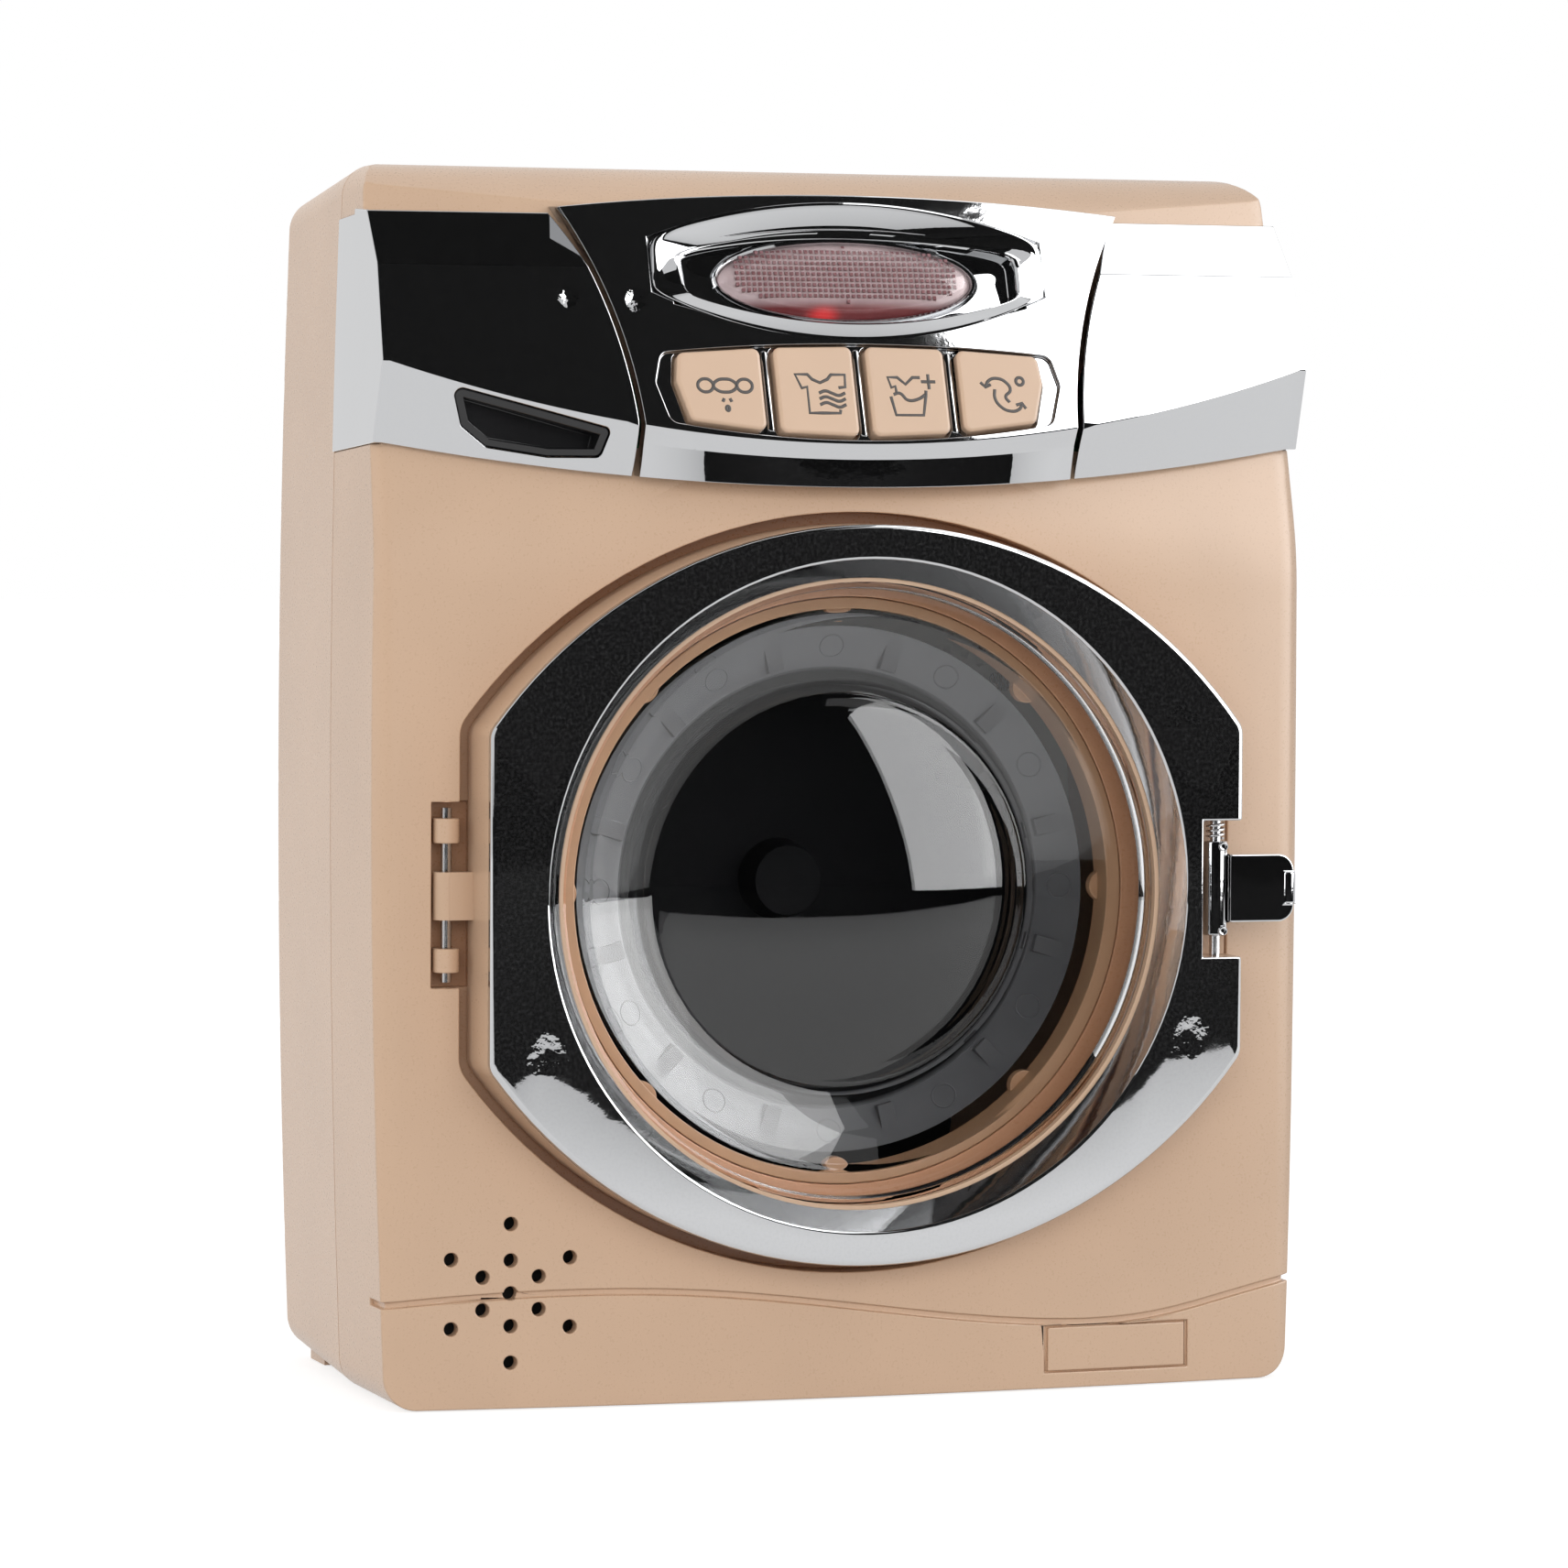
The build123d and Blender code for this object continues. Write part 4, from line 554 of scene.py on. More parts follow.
def merge_flats(mesh, slabs):
    """Join the triangles of flat areas, by sectors or by upright slabs."""
    shape = bmesh.new()
    shape.from_mesh(mesh)
    bmesh.ops.remove_doubles(shape, verts=shape.verts, dist=0.002 * MM)
    for face in shape.faces:
        middle = face.calc_center_median()
        turn = atan2(middle.z - DOOR_Z * MM, middle.x) + pi
        face.material_index = int(turn / (2 * pi) * SECTORS) % SECTORS
        if slabs:
            face.material_index = int((middle.x / MM + 100) / SLAB)
    bmesh.ops.dissolve_limit(shape, angle_limit=radians(0.15), verts=shape.verts,
                             edges=shape.edges, delimit={"MATERIAL"})
    for face in shape.faces:
        face.smooth = True
        face.material_index = 0
    shape.to_mesh(mesh)
    shape.free()


print("sectors", SECTORS)

# %% [markdown]
# A moulded edge is never sharp: the mould's steel has a radius of a few tenths of a
# millimetre. The bevel gives each edge its own and keeps the flat areas' normals, so that a
# chrome face still mirrors straight.

# %% Rounded copies of the mouldings


def round_copy(name, width, sharp=SHARP):
    """Replace a node by a copy with its sharp edges rounded by width millimetres."""
    mesh = nodes[name].data.copy()
    if "custom_normal" in mesh.attributes:
        mesh.attributes.remove(mesh.attributes["custom_normal"])
    merge_flats(mesh, name.startswith("console"))
    piece = add_piece("dressed_" + name, mesh, body_of[name], slot_of[name], own_finish.get(name))
    bevel = piece.modifiers.new("Rounding", "BEVEL")
    set_all(bevel, width=width * MM, segments=2, limit_method="ANGLE", angle_limit=sharp,
            use_clamp_overlap=False, loop_slide=False, harden_normals=True)
    final = settled_mesh(piece)
    piece.modifiers.clear()
    piece.data = final
    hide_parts(name)
    return piece


# The port ring and the window retainer take the tan with painted shade.
own_finish = {"port_ring": port_painted_shade, "window_retainer": port_painted_shade, "door_trim": dusty_chrome}
nodes["window_retainer"].data.materials[0] = port_painted_shade
for name, width in (("front_shell", 0.22), ("battery_door", 0.25), ("port_ring", 0.2),
                    ("door_trim", 0.3), ("door_latch", 0.28), ("drawer_pull", 0.2), ("drum", 0.15)):
    piece = round_copy(name, width)
    low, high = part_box(name)
    corners = Vector(piece.bound_box[0]), Vector(piece.bound_box[6])
    grown = max(*(low - corners[0]), *(corners[1] - high)) / MM
    print(name, len(piece.data.polygons), "faces, grown by mm", round(grown, 3))

# %% [markdown]
# ## The chrome console
# The console's middle facet is a very shallow arc from side to side, with a radius of almost
# a metre and a half. Under the buttons stands an upright lip, which comes forward in the
# middle. Both curves are written down here as formulas.

# %% True curves of the console
PANEL_LEAN = radians(19.3)
PANEL_RADIUS = 1450
PANEL_ORIGIN = Vector((0, -25.9, 149))
panel_up = Vector((0, sin(PANEL_LEAN), cos(PANEL_LEAN)))
panel_out = Vector((0, -cos(PANEL_LEAN), sin(PANEL_LEAN)))
panel_place = Matrix.Scale(MM, 4) @ Matrix((
    (1, panel_up.x, panel_out.x, PANEL_ORIGIN.x), (0, panel_up.y, panel_out.y, PANEL_ORIGIN.y),
    (0, panel_up.z, panel_out.z, PANEL_ORIGIN.z), (0, 0, 0, 1)))
FOOT_Y, FOOT_SWEEP, FOOT_Z, FOOT_ARC = -28.4, 6, 125.7, 756
RIDGE_V, RIDGE_RISE, CONSOLE_HALF = -18.25, 11.5, 66.2
LIP_FORWARD, LIP_HALF, LIP_SHARE = 2.05, 28, 0.64


def lip_rows(x):
    """Foot and top of the upright lip under the console's middle, as (y, z) at x."""
    reach = (x / CONSOLE_HALF)**2
    foot_y, foot_z = FOOT_Y + FOOT_SWEEP * reach, FOOT_Z + x**2 / FOOT_ARC
    v = RIDGE_V + RIDGE_RISE * reach
    ridge_y = PANEL_ORIGIN.y + v * panel_up.y + x**2 / (2 * PANEL_RADIUS)
    ridge_z = PANEL_ORIGIN.z + v * panel_up.z
    forward = LIP_FORWARD / (1 + (x / LIP_HALF)**6)
    return (foot_y - forward, foot_z), (foot_y + LIP_SHARE * (ridge_y - foot_y),
                                        foot_z + LIP_SHARE * (ridge_z - foot_z))


print("console facet leans", round(PANEL_LEAN, 3), "rad")

# %% [markdown]
# A mirror shows every facet of a mesh, so the shading normals of the console's facet and of
# its lip are worked out from the formulas. All its edges are rounded: on the real moulding
# they are the thin bright lines between the black reflections.

# %% Console with exact normals
FACET_TOLERANCE = radians(2.8)
CONSOLE_SHARP = radians(17)


def exact_normals(mesh, lip):
    """Give the broad leaning facet and the lip the normals of their true curves."""
    normals = [corner.vector.copy() for corner in mesh.corner_normals]
    for face in mesh.polygons:
        middle_x, middle_z = face.center.x / MM, face.center.z / MM
        (foot_y, foot_z), (top_y, top_z) = lip_rows(middle_x)
        on_lip = lip and face.normal.y < -0.8 and foot_z + 0.2 < middle_z < top_z
        if not on_lip and face.normal.dot(panel_out) < cos(FACET_TOLERANCE):
            continue
        for corner in face.loop_indices:
            x = mesh.vertices[mesh.loops[corner].vertex_index].co.x / MM
            if on_lip:
                (foot_y, foot_z), (top_y, top_z) = lip_rows(x)
                aside = lip_rows(x + 0.5)[0][0] - lip_rows(x - 0.5)[0][0]
                lean = (top_y - foot_y) / (top_z - foot_z)
                normals[corner] = Vector((aside, -1, lean)).normalized()
            else:
                slope = Vector((x * cos(PANEL_LEAN) / PANEL_RADIUS, 0, 0))
                normals[corner] = (panel_out + slope).normalized()
    mesh.normals_split_custom_set(normals)


for name in ("console_centre", "console_left", "console_right"):
    exact_normals(round_copy(name, 0.16, CONSOLE_SHARP).data, name == "console_centre")
print("console normals set")

# %% [markdown]
# ## The bezel round the display
# The bezel and the lens follow closed outlines on the console's facet. An outline of the
# bezel is found by walking outwards from the display's middle until its edge is met, and is
# then smoothed a little.

# %% Outlines
DISPLAY_V = 6.2
LENS_HALF = 18.4
LENS_HIGH = 5.5
OUTLINE_STEPS = 192
HALVINGS = 26
SOFTENINGS = 14


def circle(count):
    """Cosine and sine at count even steps round a circle."""
    turns = [2 * pi * step / count for step in range(count)]
    return [(cos(turn), sin(turn)) for turn in turns]


def arc_height(x, half, middle, end):
    """Height at x of an arc that is at middle over x = 0 and at end over x = half."""
    rise = middle - end
    radius = (half**2 + rise**2) / (2 * rise)
    side = 1 if rise > 0 else -1
    return middle - radius + side * sqrt(max(radius**2 - x**2, 0))


def band_outline(half, top, end_top, end_low, low, inset=0.0):
    """Closed outline between two arcs with upright ends, set in by inset."""
    half, top, low = half - inset, top - inset, low + inset
    end_top, end_low = end_top - 0.6 * inset, end_low + 0.6 * inset
    points = []
    for across, up in circle(OUTLINE_STEPS):
        near, far = 0.0, 4.0
        for _ in range(HALVINGS):
            reach = (near + far) / 2
            x, v = reach * LENS_HALF * across, DISPLAY_V + reach * LENS_HIGH * up
            inside = abs(x) < half and arc_height(x, half, low, end_low) < v < arc_height(
                x, half, top, end_top)
            near, far = (reach, far) if inside else (near, reach)
        points.append(Vector((x, v, 0)))
    for _ in range(SOFTENINGS):
        points = [(points[i - 1] + 2 * points[i] + points[(i + 1) % OUTLINE_STEPS]) / 4
                  for i in range(OUTLINE_STEPS)]
    return points


def oval_rings(rows):
    """Ovals like the lens; each row gives a growth and a height in millimetres."""
    return [[Vector(((LENS_HALF + grow) * across, DISPLAY_V + (LENS_HIGH + grow) * up, h))
             for across, up in circle(OUTLINE_STEPS)] for grow, h in rows]


def oval_end(h):
    """An oval that has shrunk to a point, to close a skin."""
    return [[Vector((0, DISPLAY_V, h))] * OUTLINE_STEPS]


print("outline points", OUTLINE_STEPS)

# %% [markdown]
# A skin joins outlines of equally many points into one smooth mesh. Its first and last
# outline may shrink to a point, which closes the mesh, and its normals are made to look
# outwards at the end.

# %% Skins


def skin(name, rings, place, sharp=50, closed=False):
    """A smooth mesh through rings of equally many points; closed joins last to first."""
    shape = bmesh.new()
    rows = [[shape.verts.new(place @ point) for point in ring] for ring in rings]
    pairs = list(zip(rows, rows[1:])) + ([(rows[-1], rows[0])] if closed else [])
    for first, second in pairs:
        for step in range(len(first)):
            after = (step + 1) % len(first)
            shape.faces.new((first[step], first[after], second[after], second[step]))
    bmesh.ops.remove_doubles(shape, verts=shape.verts, dist=0.0005 * MM)
    bmesh.ops.recalc_face_normals(shape, faces=shape.faces)
    for face in shape.faces:
        face.smooth = True
    mesh = bpy.data.meshes.new(name)
    shape.to_mesh(mesh)
    shape.free()
    mesh.set_sharp_from_angle(angle=radians(sharp))
    return mesh


print("skin helper ready")

# %% [markdown]
# The bezel is one chrome moulding: a bright crest, a broad band, a thin lip, a flat floor,
# and a raised rim round the lens. The band looks down towards the table, so it slopes in
# above the display and out below it. Each row gives its place between the outer and the inner
# outline, and two heights, above and below the display. Towards the right end the upper
# height fades, which turns the band outwards there.

# %% Bezel
OUTER = (28.5, 17.0, 11.6, 3.8, -3.2)
INNER = (24.0, 12.3, 9.5, 2.9, -0.9)
SEAT = (28.5, 17.0, 11.6, 3.8, -2.7)
CLIMB_START, CLIMB_SPAN = 0.25, 0.6
RIGHT_TURN = 0.5
outer, inner = band_outline(*OUTER), band_outline(*INNER)
low_v, high_v = min(point.y for point in outer), max(point.y for point in outer)
bezel_rows = ((0.0, -0.05, -0.05), (0.02, 0.80, -0.02), (0.06, 1.15, 0.02), (0.11, 1.22, 0.06),
              (0.16, 1.10, 0.10), (0.22, 0.85, 0.18), (0.76, -1.00, 1.04), (0.82, -1.14, 1.14),
              (0.88, -1.10, 1.14), (0.94, -1.16, 0.95), (1.0, -1.34, 0.45), (1.0, -2.30, -2.30),
              (1.02, -2.40, -2.40))
rim_rows = ((1.3, -2.4), (1.1, -2.3), (0.9, -1.8), (0.55, -1.55), (0.2, -1.75), (0.02, -2.2),
            (0.02, -3.6))
rings = [[point + Vector((0, 0, -0.6)) for point in band_outline(*SEAT)]]
for share, high_h, low_h in bezel_rows:
    ring = []
    for first, last in zip(outer, inner):
        point = first.lerp(last, share)
        rise = (first.y - low_v) / (high_v - low_v)
        climb = min(1.0, max(0.0, (rise - CLIMB_START) / CLIMB_SPAN))
        right = max(0.0, first.x / OUTER[0])
        high_share = max(0.0, climb**2 * (3 - 2 * climb) - RIGHT_TURN * right**3)
        point.z = low_h + (high_h - low_h) * high_share
        ring.append(point)
    rings.append(ring)
rings += oval_rings(rim_rows)
rings += [[point + Vector((0, 0, h)) for point in band_outline(*INNER, inset=-1.4)]
          for h in (-3.6, -0.6)]
bezel = skin("bezel", rings, panel_place, 35, closed=True)
bezel = add_piece("bezel", bezel, "cabinet", "chrome_plating")
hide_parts("display_bezel")
print("bezel", len(bezel.data.polygons), "faces")

# %% [markdown]
# ## Bars between the buttons
# Narrow chrome bars with rounded tops stand between the buttons. A rounded bar shows the
# bright lamp on its right side only, which draws a white line beside every button.

# %% Rounded bars
BAR_XS = (-13.3, 0.0, 13.3)
BAR_HALF = 0.62
BAR_RISE = 0.42
POCKET_FLOOR = -0.9


def bar_rings(x, low, high):
    """Cross-sections of one bar, from its lower to its upper end."""
    turns = [pi * i / 12 for i in range(13)]
    section = [(BAR_HALF * cos(turn), BAR_RISE * sin(turn)) for turn in turns]
    section += [(-BAR_HALF, -0.15), (BAR_HALF, -0.15)]
    rows = ((low, 0), (low, 0.55), (low + 0.3, 1), (high - 0.3, 1), (high, 0.55), (high, 0))
    return [[Vector((x + share * dx, v, POCKET_FLOOR + share * h)) for dx, h in section]
            for v, share in rows]


for number, x in enumerate(BAR_XS, 1):
    low, high = -16.9 + 2.6 * (x / 27.6)**2, -4.3 - 1.4 * (x / 28.2)**2
    add_piece(f"button_bar_{number}", skin("button_bar", bar_rings(x, low, high), panel_place),
              "cabinet", "chrome_plating")
print("bars", len(BAR_XS))

# %% [markdown]
# ## The display
# Behind the clear lens lies a diffuser of little dark red pillows that spread the lamps'
# light. Such a pattern is grown with Geometry Nodes. These helpers start a tree with named
# inputs, end it in real geometry with its finish, and turn its result into a plain mesh.

# %% Geometry Nodes helpers


def new_tree(name, inputs):
    """A Geometry Nodes tree with inputs (name, kind, value), and its two end nodes."""
    tree = bpy.data.node_groups.new(name, "GeometryNodeTree")
    tree.interface.new_socket("Geometry", in_out="OUTPUT", socket_type="NodeSocketGeometry")
    for label, kind, value in inputs:
        socket = tree.interface.new_socket(label, in_out="INPUT", socket_type="NodeSocket" + kind)
        socket.default_value = value
    return tree, tree.nodes.new("NodeGroupInput"), tree.nodes.new("NodeGroupOutput")


def finish_tree(tree, ending, instances, finish):
    """End a tree in Realize Instances and Set Material."""
    real = made_by(tree, "GeometryNodeRealizeInstances", {0: instances})
    painted = made_by(tree, "GeometryNodeSetMaterial", {0: real, "Material": finish})
    put(tree, painted, ending.inputs[0])


def grown_mesh(name, tree, values, place):
    """Run a tree with its input values and return the mesh, moved by place."""
    host = show(bpy.data.objects.new(name, bpy.data.meshes.new(name)))
    modifier = host.modifiers.new("Grow", "NODES")
    modifier.node_group = tree
    for item in tree.interface.items_tree:
        if item.in_out == "INPUT" and item.name in values:
            modifier[item.identifier] = values[item.name]
    mesh = settled_mesh(host)
    bpy.data.objects.remove(host)
    mesh.transform(place)
    return mesh


print("helpers for grown pieces ready")

# %% [markdown]
# The diffuser's grid is a mesh grid whose steps come from the pitch. The points outside a
# rounded field are taken out, and one pillow is set on each of the rest.

# %% Diffuser pillows
GRID_PITCH = 0.79
GRID_HALF = 16.3
GRID_HIGH = 3.95
GRID_V = 7.0
GRID_DEPTH = -1.7
HALVES = ("Half width", "Half height")

diffuser_plastic = moulded("diffuser_red", (0.24, 0.105, 0.115), 0.3, grain=0.2)
tree, start, ending = new_tree("display_grid", [
    ("Half width", "Float", GRID_HALF), ("Half height", "Float", GRID_HIGH),
    ("Pitch", "Float", GRID_PITCH), ("Pillow size", "Float", 0.44), ("Thickness", "Float", 0.3)])
given = start.outputs
grid = {}
for axis, half in zip("XY", HALVES):
    steps = calc(tree, "FLOOR", calc(tree, "DIVIDE", given[half], given["Pitch"]))
    across = calc(tree, "MULTIPLY", steps, 2)
    grid["Size " + axis] = calc(tree, "MULTIPLY", across, given["Pitch"])
    grid["Vertices " + axis] = calc(tree, "ADD", across, 1)
points = made_by(tree, "GeometryNodeMeshGrid", grid)
place = add_node(tree, "ShaderNodeSeparateXYZ", {0: made_by(tree, "GeometryNodeInputPosition")})
far = [calc(tree, "POWER", calc(tree, "ABSOLUTE", calc(tree, "DIVIDE", side, given[half])), 3)
       for side, half in zip(place.outputs, HALVES)]
outside = calc(tree, "GREATER_THAN", calc(tree, "ADD", *far), 1.0)
kept = made_by(tree, "GeometryNodeDeleteGeometry", {0: points, 1: outside})
size = made_by(tree, "ShaderNodeCombineXYZ", {
    0: given["Pillow size"], 1: given["Pillow size"], 2: given["Thickness"]})
pillow = made_by(tree, "GeometryNodeMeshCube", {0: size})
pillows = made_by(tree, "GeometryNodeInstanceOnPoints", {"Points": kept, "Instance": pillow})
finish_tree(tree, ending, pillows, diffuser_plastic)
diffuser = grown_mesh("diffuser", tree, {"Pitch": GRID_PITCH},
                      panel_place @ Matrix.Translation((0, GRID_V, GRID_DEPTH)))
add_piece("diffuser", diffuser, "cabinet", "red_lens", diffuser_plastic)
print("diffuser pillows", len(diffuser.polygons) // 6)

# %% [markdown]
# The lens is the solid's flat oval with its rolled edge, stepped more finely, because its rim
# carries a thin highlight. It throws no shadow on the grid behind it.

# %% Lens
lens_rows = ((-0.06, -3.2), (-0.06, -2.1), (-0.2, -1.75), (-0.6, -1.3), (-1.2, -0.85),
             (-1.6, -0.72), (-2.4, -0.66), (-4.0, -0.62), (-5.49, -0.61))
rings = oval_end(-3.2) + oval_rings(lens_rows) + oval_end(-0.61)
lens = add_piece("lens", skin("lens", rings, panel_place), "cabinet", "red_lens")
lens.visible_shadow = False
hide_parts("display_lens")
print("lens", len(lens.data.polygons), "faces")

# %% [markdown]
# Under the grid is a pale sheet whose lower edge is dark red. It glows softly where the lit
# lamp stands behind it, a little to the left of the middle.

# %% Pale sheet and its glow
LIT = (-3.6, 1.6)
LIT_DEPTH = -2.4
LIT_REACH = (3.4, 1.7)
RED_EDGE = (150.6, 151.9)


def glow_sheet(name):
    """Pale pink sheet with a dark red lower edge, bright round the lit lamp."""
    material, tree, shader = new_material(name, Roughness=0.35, Emission_Strength=1.0)
    wide, high = (1 / reach for reach in LIT_REACH)
    point = object_point(tree, (wide, wide, high), panel_place @ Vector((*LIT, LIT_DEPTH)) / MM)
    near = spread(tree, length(tree, point), 1, 0, 0, 1, "SMOOTHERSTEP")
    cloud = spots(tree, 1.5)
    red = between(tree, cloud, (0.13, 0.020, 0.022, 1), (0.20, 0.035, 0.040, 1))
    pink = between(tree, cloud, (0.55, 0.49, 0.50, 1), (0.70, 0.64, 0.65, 1))
    feed(tree, shader,
         Base_Color=between(tree, spread(tree, axes(tree)[2], 0, 1, *RED_EDGE), red, pink),
         Emission_Color=between(tree, near, (0.004, 0.001, 0.001, 1), (0.5, 0.02, 0.02, 1)))
    relief(tree, shader, spots(tree, 0.8), 0.02)
    return material


sheet_rows = ((-2.2, -2.0), (-1.4, -2.1), (-0.7, -2.5), (-0.5, -2.9), (-0.5, -3.15))
rings = oval_end(-2.0) + oval_rings(sheet_rows) + oval_end(-3.15)
add_piece("glow_sheet", skin("glow_sheet", rings, panel_place), "cabinet", "lamp_red",
          glow_sheet("glow_sheet"))
print("sheet ready")

# %% [markdown]
# ## Printed signs on the buttons
# Each button carries a line drawing: wrung laundry with drops, a shirt in the wind, a shirt
# over a tub, and two turning arrows. The lines are given in millimetres on the console's
# facet, each with two marks: whether it is smooth, and whether it is closed.

# %% Sign drawings


def loop(x, v, wide, high):
    """A smooth closed line of eight points round an ellipse."""
    return [(x + wide * across, v + high * up) for across, up in circle(8)], True, True


wave = [(0, 0), (0.95, 0.32), (1.9, 0), (2.85, -0.32), (3.8, 0.05)]
signs = {
    "button_twist": [
        loop(-22.6, -10.15, 1.1, 0.95), loop(-19.8, -10.15, 1.65, 0.95),
        loop(-17, -10.15, 1.1, 0.95),
        ([(-20.1, -12), (-20.35, -12.5)], False, False),
        ([(-19.3, -12), (-19.05, -12.5)], False, False),
        loop(-19.7, -13.45, 0.22, 0.32)],
    "button_shirt": [
        ([(-6.2, -14), (-8, -14), (-8, -10.2), (-8.8, -10.4), (-9.6, -8.4), (-7.8, -8.4),
          (-7.2, -9.1), (-6.1, -9.6), (-5, -9.1), (-4.4, -8.4), (-2.4, -8.4), (-2.5, -10.2),
          (-3.5, -10.3)], False, False),
        ([(-6.2, -14), (-3.6, -14), (-3.5, -13.5)], False, False)] + [
        ([(-6.4 + x, -11.1 - drop + v) for x, v in wave], True, False)
        for drop in (0, 0.85, 1.7)],
    "button_tub": [
        ([(4.9, -11), (4.8, -10), (4.2, -10.2), (3.8, -8.7), (5.2, -8.7), (6.3, -9.7),
          (7.4, -8.7), (8.5, -8.7)], False, False),
        ([(4, -11.5), (4.5, -14.2), (8.5, -14.2), (9.1, -11.4), (9.2, -10.6)], False, False),
        ([(4.4, -11.2), (5.3, -11), (6.4, -12), (7.8, -11.9), (9.2, -11.1)], True, False),
        ([(8.6, -9.3), (10.7, -9.3)], False, False), ([(9.7, -8.2), (9.7, -10.4)], False, False)],
    "button_cycle": [
        ([(21.3, -12.2), (20.8, -11.4), (21.6, -10.4), (21.1, -9.3), (19.8, -8.7), (18.6, -9),
          (18, -9.9)], True, False),
        ([(17.3, -9.3), (18, -10), (18.8, -9.6)], False, False),
        ([(19.3, -10.3), (19.2, -11.6), (20, -12.9), (21.4, -13.5), (22.6, -13.2), (23.1, -12.5)],
         True, False),
        ([(22.2, -12.6), (23.1, -12.3), (23.6, -13.1)], False, False),
        loop(23.1, -9.1, 0.55, 0.55)],
}
print("signs", len(signs), "lines", sum(len(lines) for lines in signs.values()))

# %% [markdown]
# A pad print is a film of ink that stands up by a few hundredths of a millimetre. Each line
# is a round tube along a curve, squashed almost flat and laid on the button's face.

# %% Printed signs
INK_HALF = 0.23
INK_FLAT = 0.14
KEY_HEIGHT = 0.5
INK_RISE = 0.012

ink = moulded("button_ink", (0.075, 0.066, 0.062), 0.5, grain=0.15)
for name, lines in signs.items():
    drawing = bpy.data.curves.new(name, "CURVE")
    set_all(drawing, dimensions="3D", bevel_depth=INK_HALF, bevel_resolution=1, resolution_u=5,
            use_fill_caps=True)
    for points, smooth, closed in lines:
        spline = drawing.splines.new("BEZIER")
        spline.bezier_points.add(len(points) - 1)
        spline.use_cyclic_u = closed
        for knot, (x, v) in zip(spline.bezier_points, points):
            knot.co = (x, v, 0)
            knot.handle_left_type = knot.handle_right_type = "AUTO" if smooth else "VECTOR"
    host = show(bpy.data.objects.new(name, drawing))
    mesh = settled_mesh(host)
    bpy.data.objects.remove(host)
    mesh.transform(panel_place @ Matrix.Translation((0, 0, KEY_HEIGHT + INK_RISE))
                   @ Matrix.Diagonal((1, 1, INK_FLAT, 1)))
    add_piece("sign_" + name, mesh, body_of[name], "black_plastic", ink)
print("signs printed in", ink.name)

# %% [markdown]
# ## The window
# The window is turned about the door's axis: a flange, a step back to a flat ring, a funnel,
# and a shallow dome that comes forward again. It is remade in fine steps, since a curved
# mirror image shows every facet. Light passes through it without a shadow, as through real
# clear plastic a millimetre and a half thick.

# %% Window
TURN_STEPS = 192
DOME_RADIUS = 63.75
DOME_CENTRE_Y = 35.55
WINDOW_WALL = 1.5
DOME_STEPS = 28
OUTER_EDGE, INNER_EDGE = 26.6, 25.6


def turned(name, profile):
    """Turn a profile of (y, r) points in millimetres about the door's axis."""
    rings = [[Vector((r * across, y, DOOR_Z + r * up)) for across, up in circle(TURN_STEPS)]
             for y, r in profile]
    return skin(name, rings, Matrix.Scale(MM, 4), 35)


def dome(radius, set_back=0.0):
    """Depth of the dome's skin at a distance from its middle."""
    return DOME_CENTRE_Y - sqrt((DOME_RADIUS - set_back)**2 - radius**2)


outer_dome = [(dome(r), r) for r in [OUTER_EDGE * i / DOME_STEPS for i in range(DOME_STEPS + 1)]]
inner_dome = [(dome(r, WINDOW_WALL), r)
              for r in [INNER_EDGE * i / DOME_STEPS for i in range(DOME_STEPS, -1, -1)]]
foot = dome(26.0, WINDOW_WALL)
edge = [(dome(27.0) + 0.05, 27.05), (dome(27.0) + 0.08, 27.5), (dome(27.0) - 0.12, 28.1),
        (-27.45, 37.55), (-27.63, 37.9), (-27.7, 38.3), (-27.7, 41.85), (-27.73, 41.95),
        (-27.85, 42.0), (-29.7, 42.16), (-30.0, 42.25), (-30.15, 42.55), (-30.15, 44.7),
        (-30.0, 44.9), (-28.7, 44.9), (-28.7, 43.4), (-28.5, 43.2), (-26.4, 43.2), (-26.2, 43.0),
        (-26.2, 39.0), (-26.1, 38.6), (foot + 0.5, 28.9), (foot + 0.4, 28.4), (foot + 0.25, 27.0)]
profile = outer_dome + edge + inner_dome
window = add_piece("window", turned("window", profile), "door", "clear_window")
window.visible_shadow = False
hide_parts("door_window")
print("window", len(window.data.polygons), "faces")

# %% [markdown]
# ## Marks on the drum's ring
# Between the twelve ribs of the smoky ring sit twelve thin circles, the marks of the
# ejector pins. One wire circle is tilted to lie on the cone and set round the axis.

# %% Ejector marks
drum_place = Matrix.Scale(MM, 4) @ Matrix((
    (1, 0, 0, 0), (0, 0, -1, 0), (0, 1, 0, DOOR_Z), (0, 0, 0, 1)))
CONE_TILT = atan2(2.0, 6.4)
MARK_COUNT = 12
tree, start, ending = new_tree("ejector_marks", [
    ("Count", "Int", MARK_COUNT), ("Ring radius", "Float", 34.2), ("Mark radius", "Float", 1.75),
    ("Wire", "Float", 0.13), ("Height", "Float", 16.5)])
given = start.outputs
mark, wire = [made_by(tree, "GeometryNodeCurvePrimitiveCircle", {
    "Resolution": steps, "Radius": given[radius]})
    for steps, radius in ((28, "Mark radius"), (6, "Wire"))]
tube = made_by(tree, "GeometryNodeCurveToMesh", {"Curve": mark, "Profile Curve": wire})
target = made_by(tree, "ShaderNodeCombineXYZ", {0: given["Ring radius"], 2: given["Height"]})
moved = made_by(tree, "GeometryNodeTransform", {
    "Geometry": tube, "Translation": target, "Rotation": (0, -CONE_TILT, 0)})
places = made_by(tree, "GeometryNodeMeshLine", {"Count": given["Count"], "Offset": (0, 0, 0)})
turn = calc(tree, "DIVIDE", made_by(tree, "GeometryNodeInputIndex"), given["Count"])
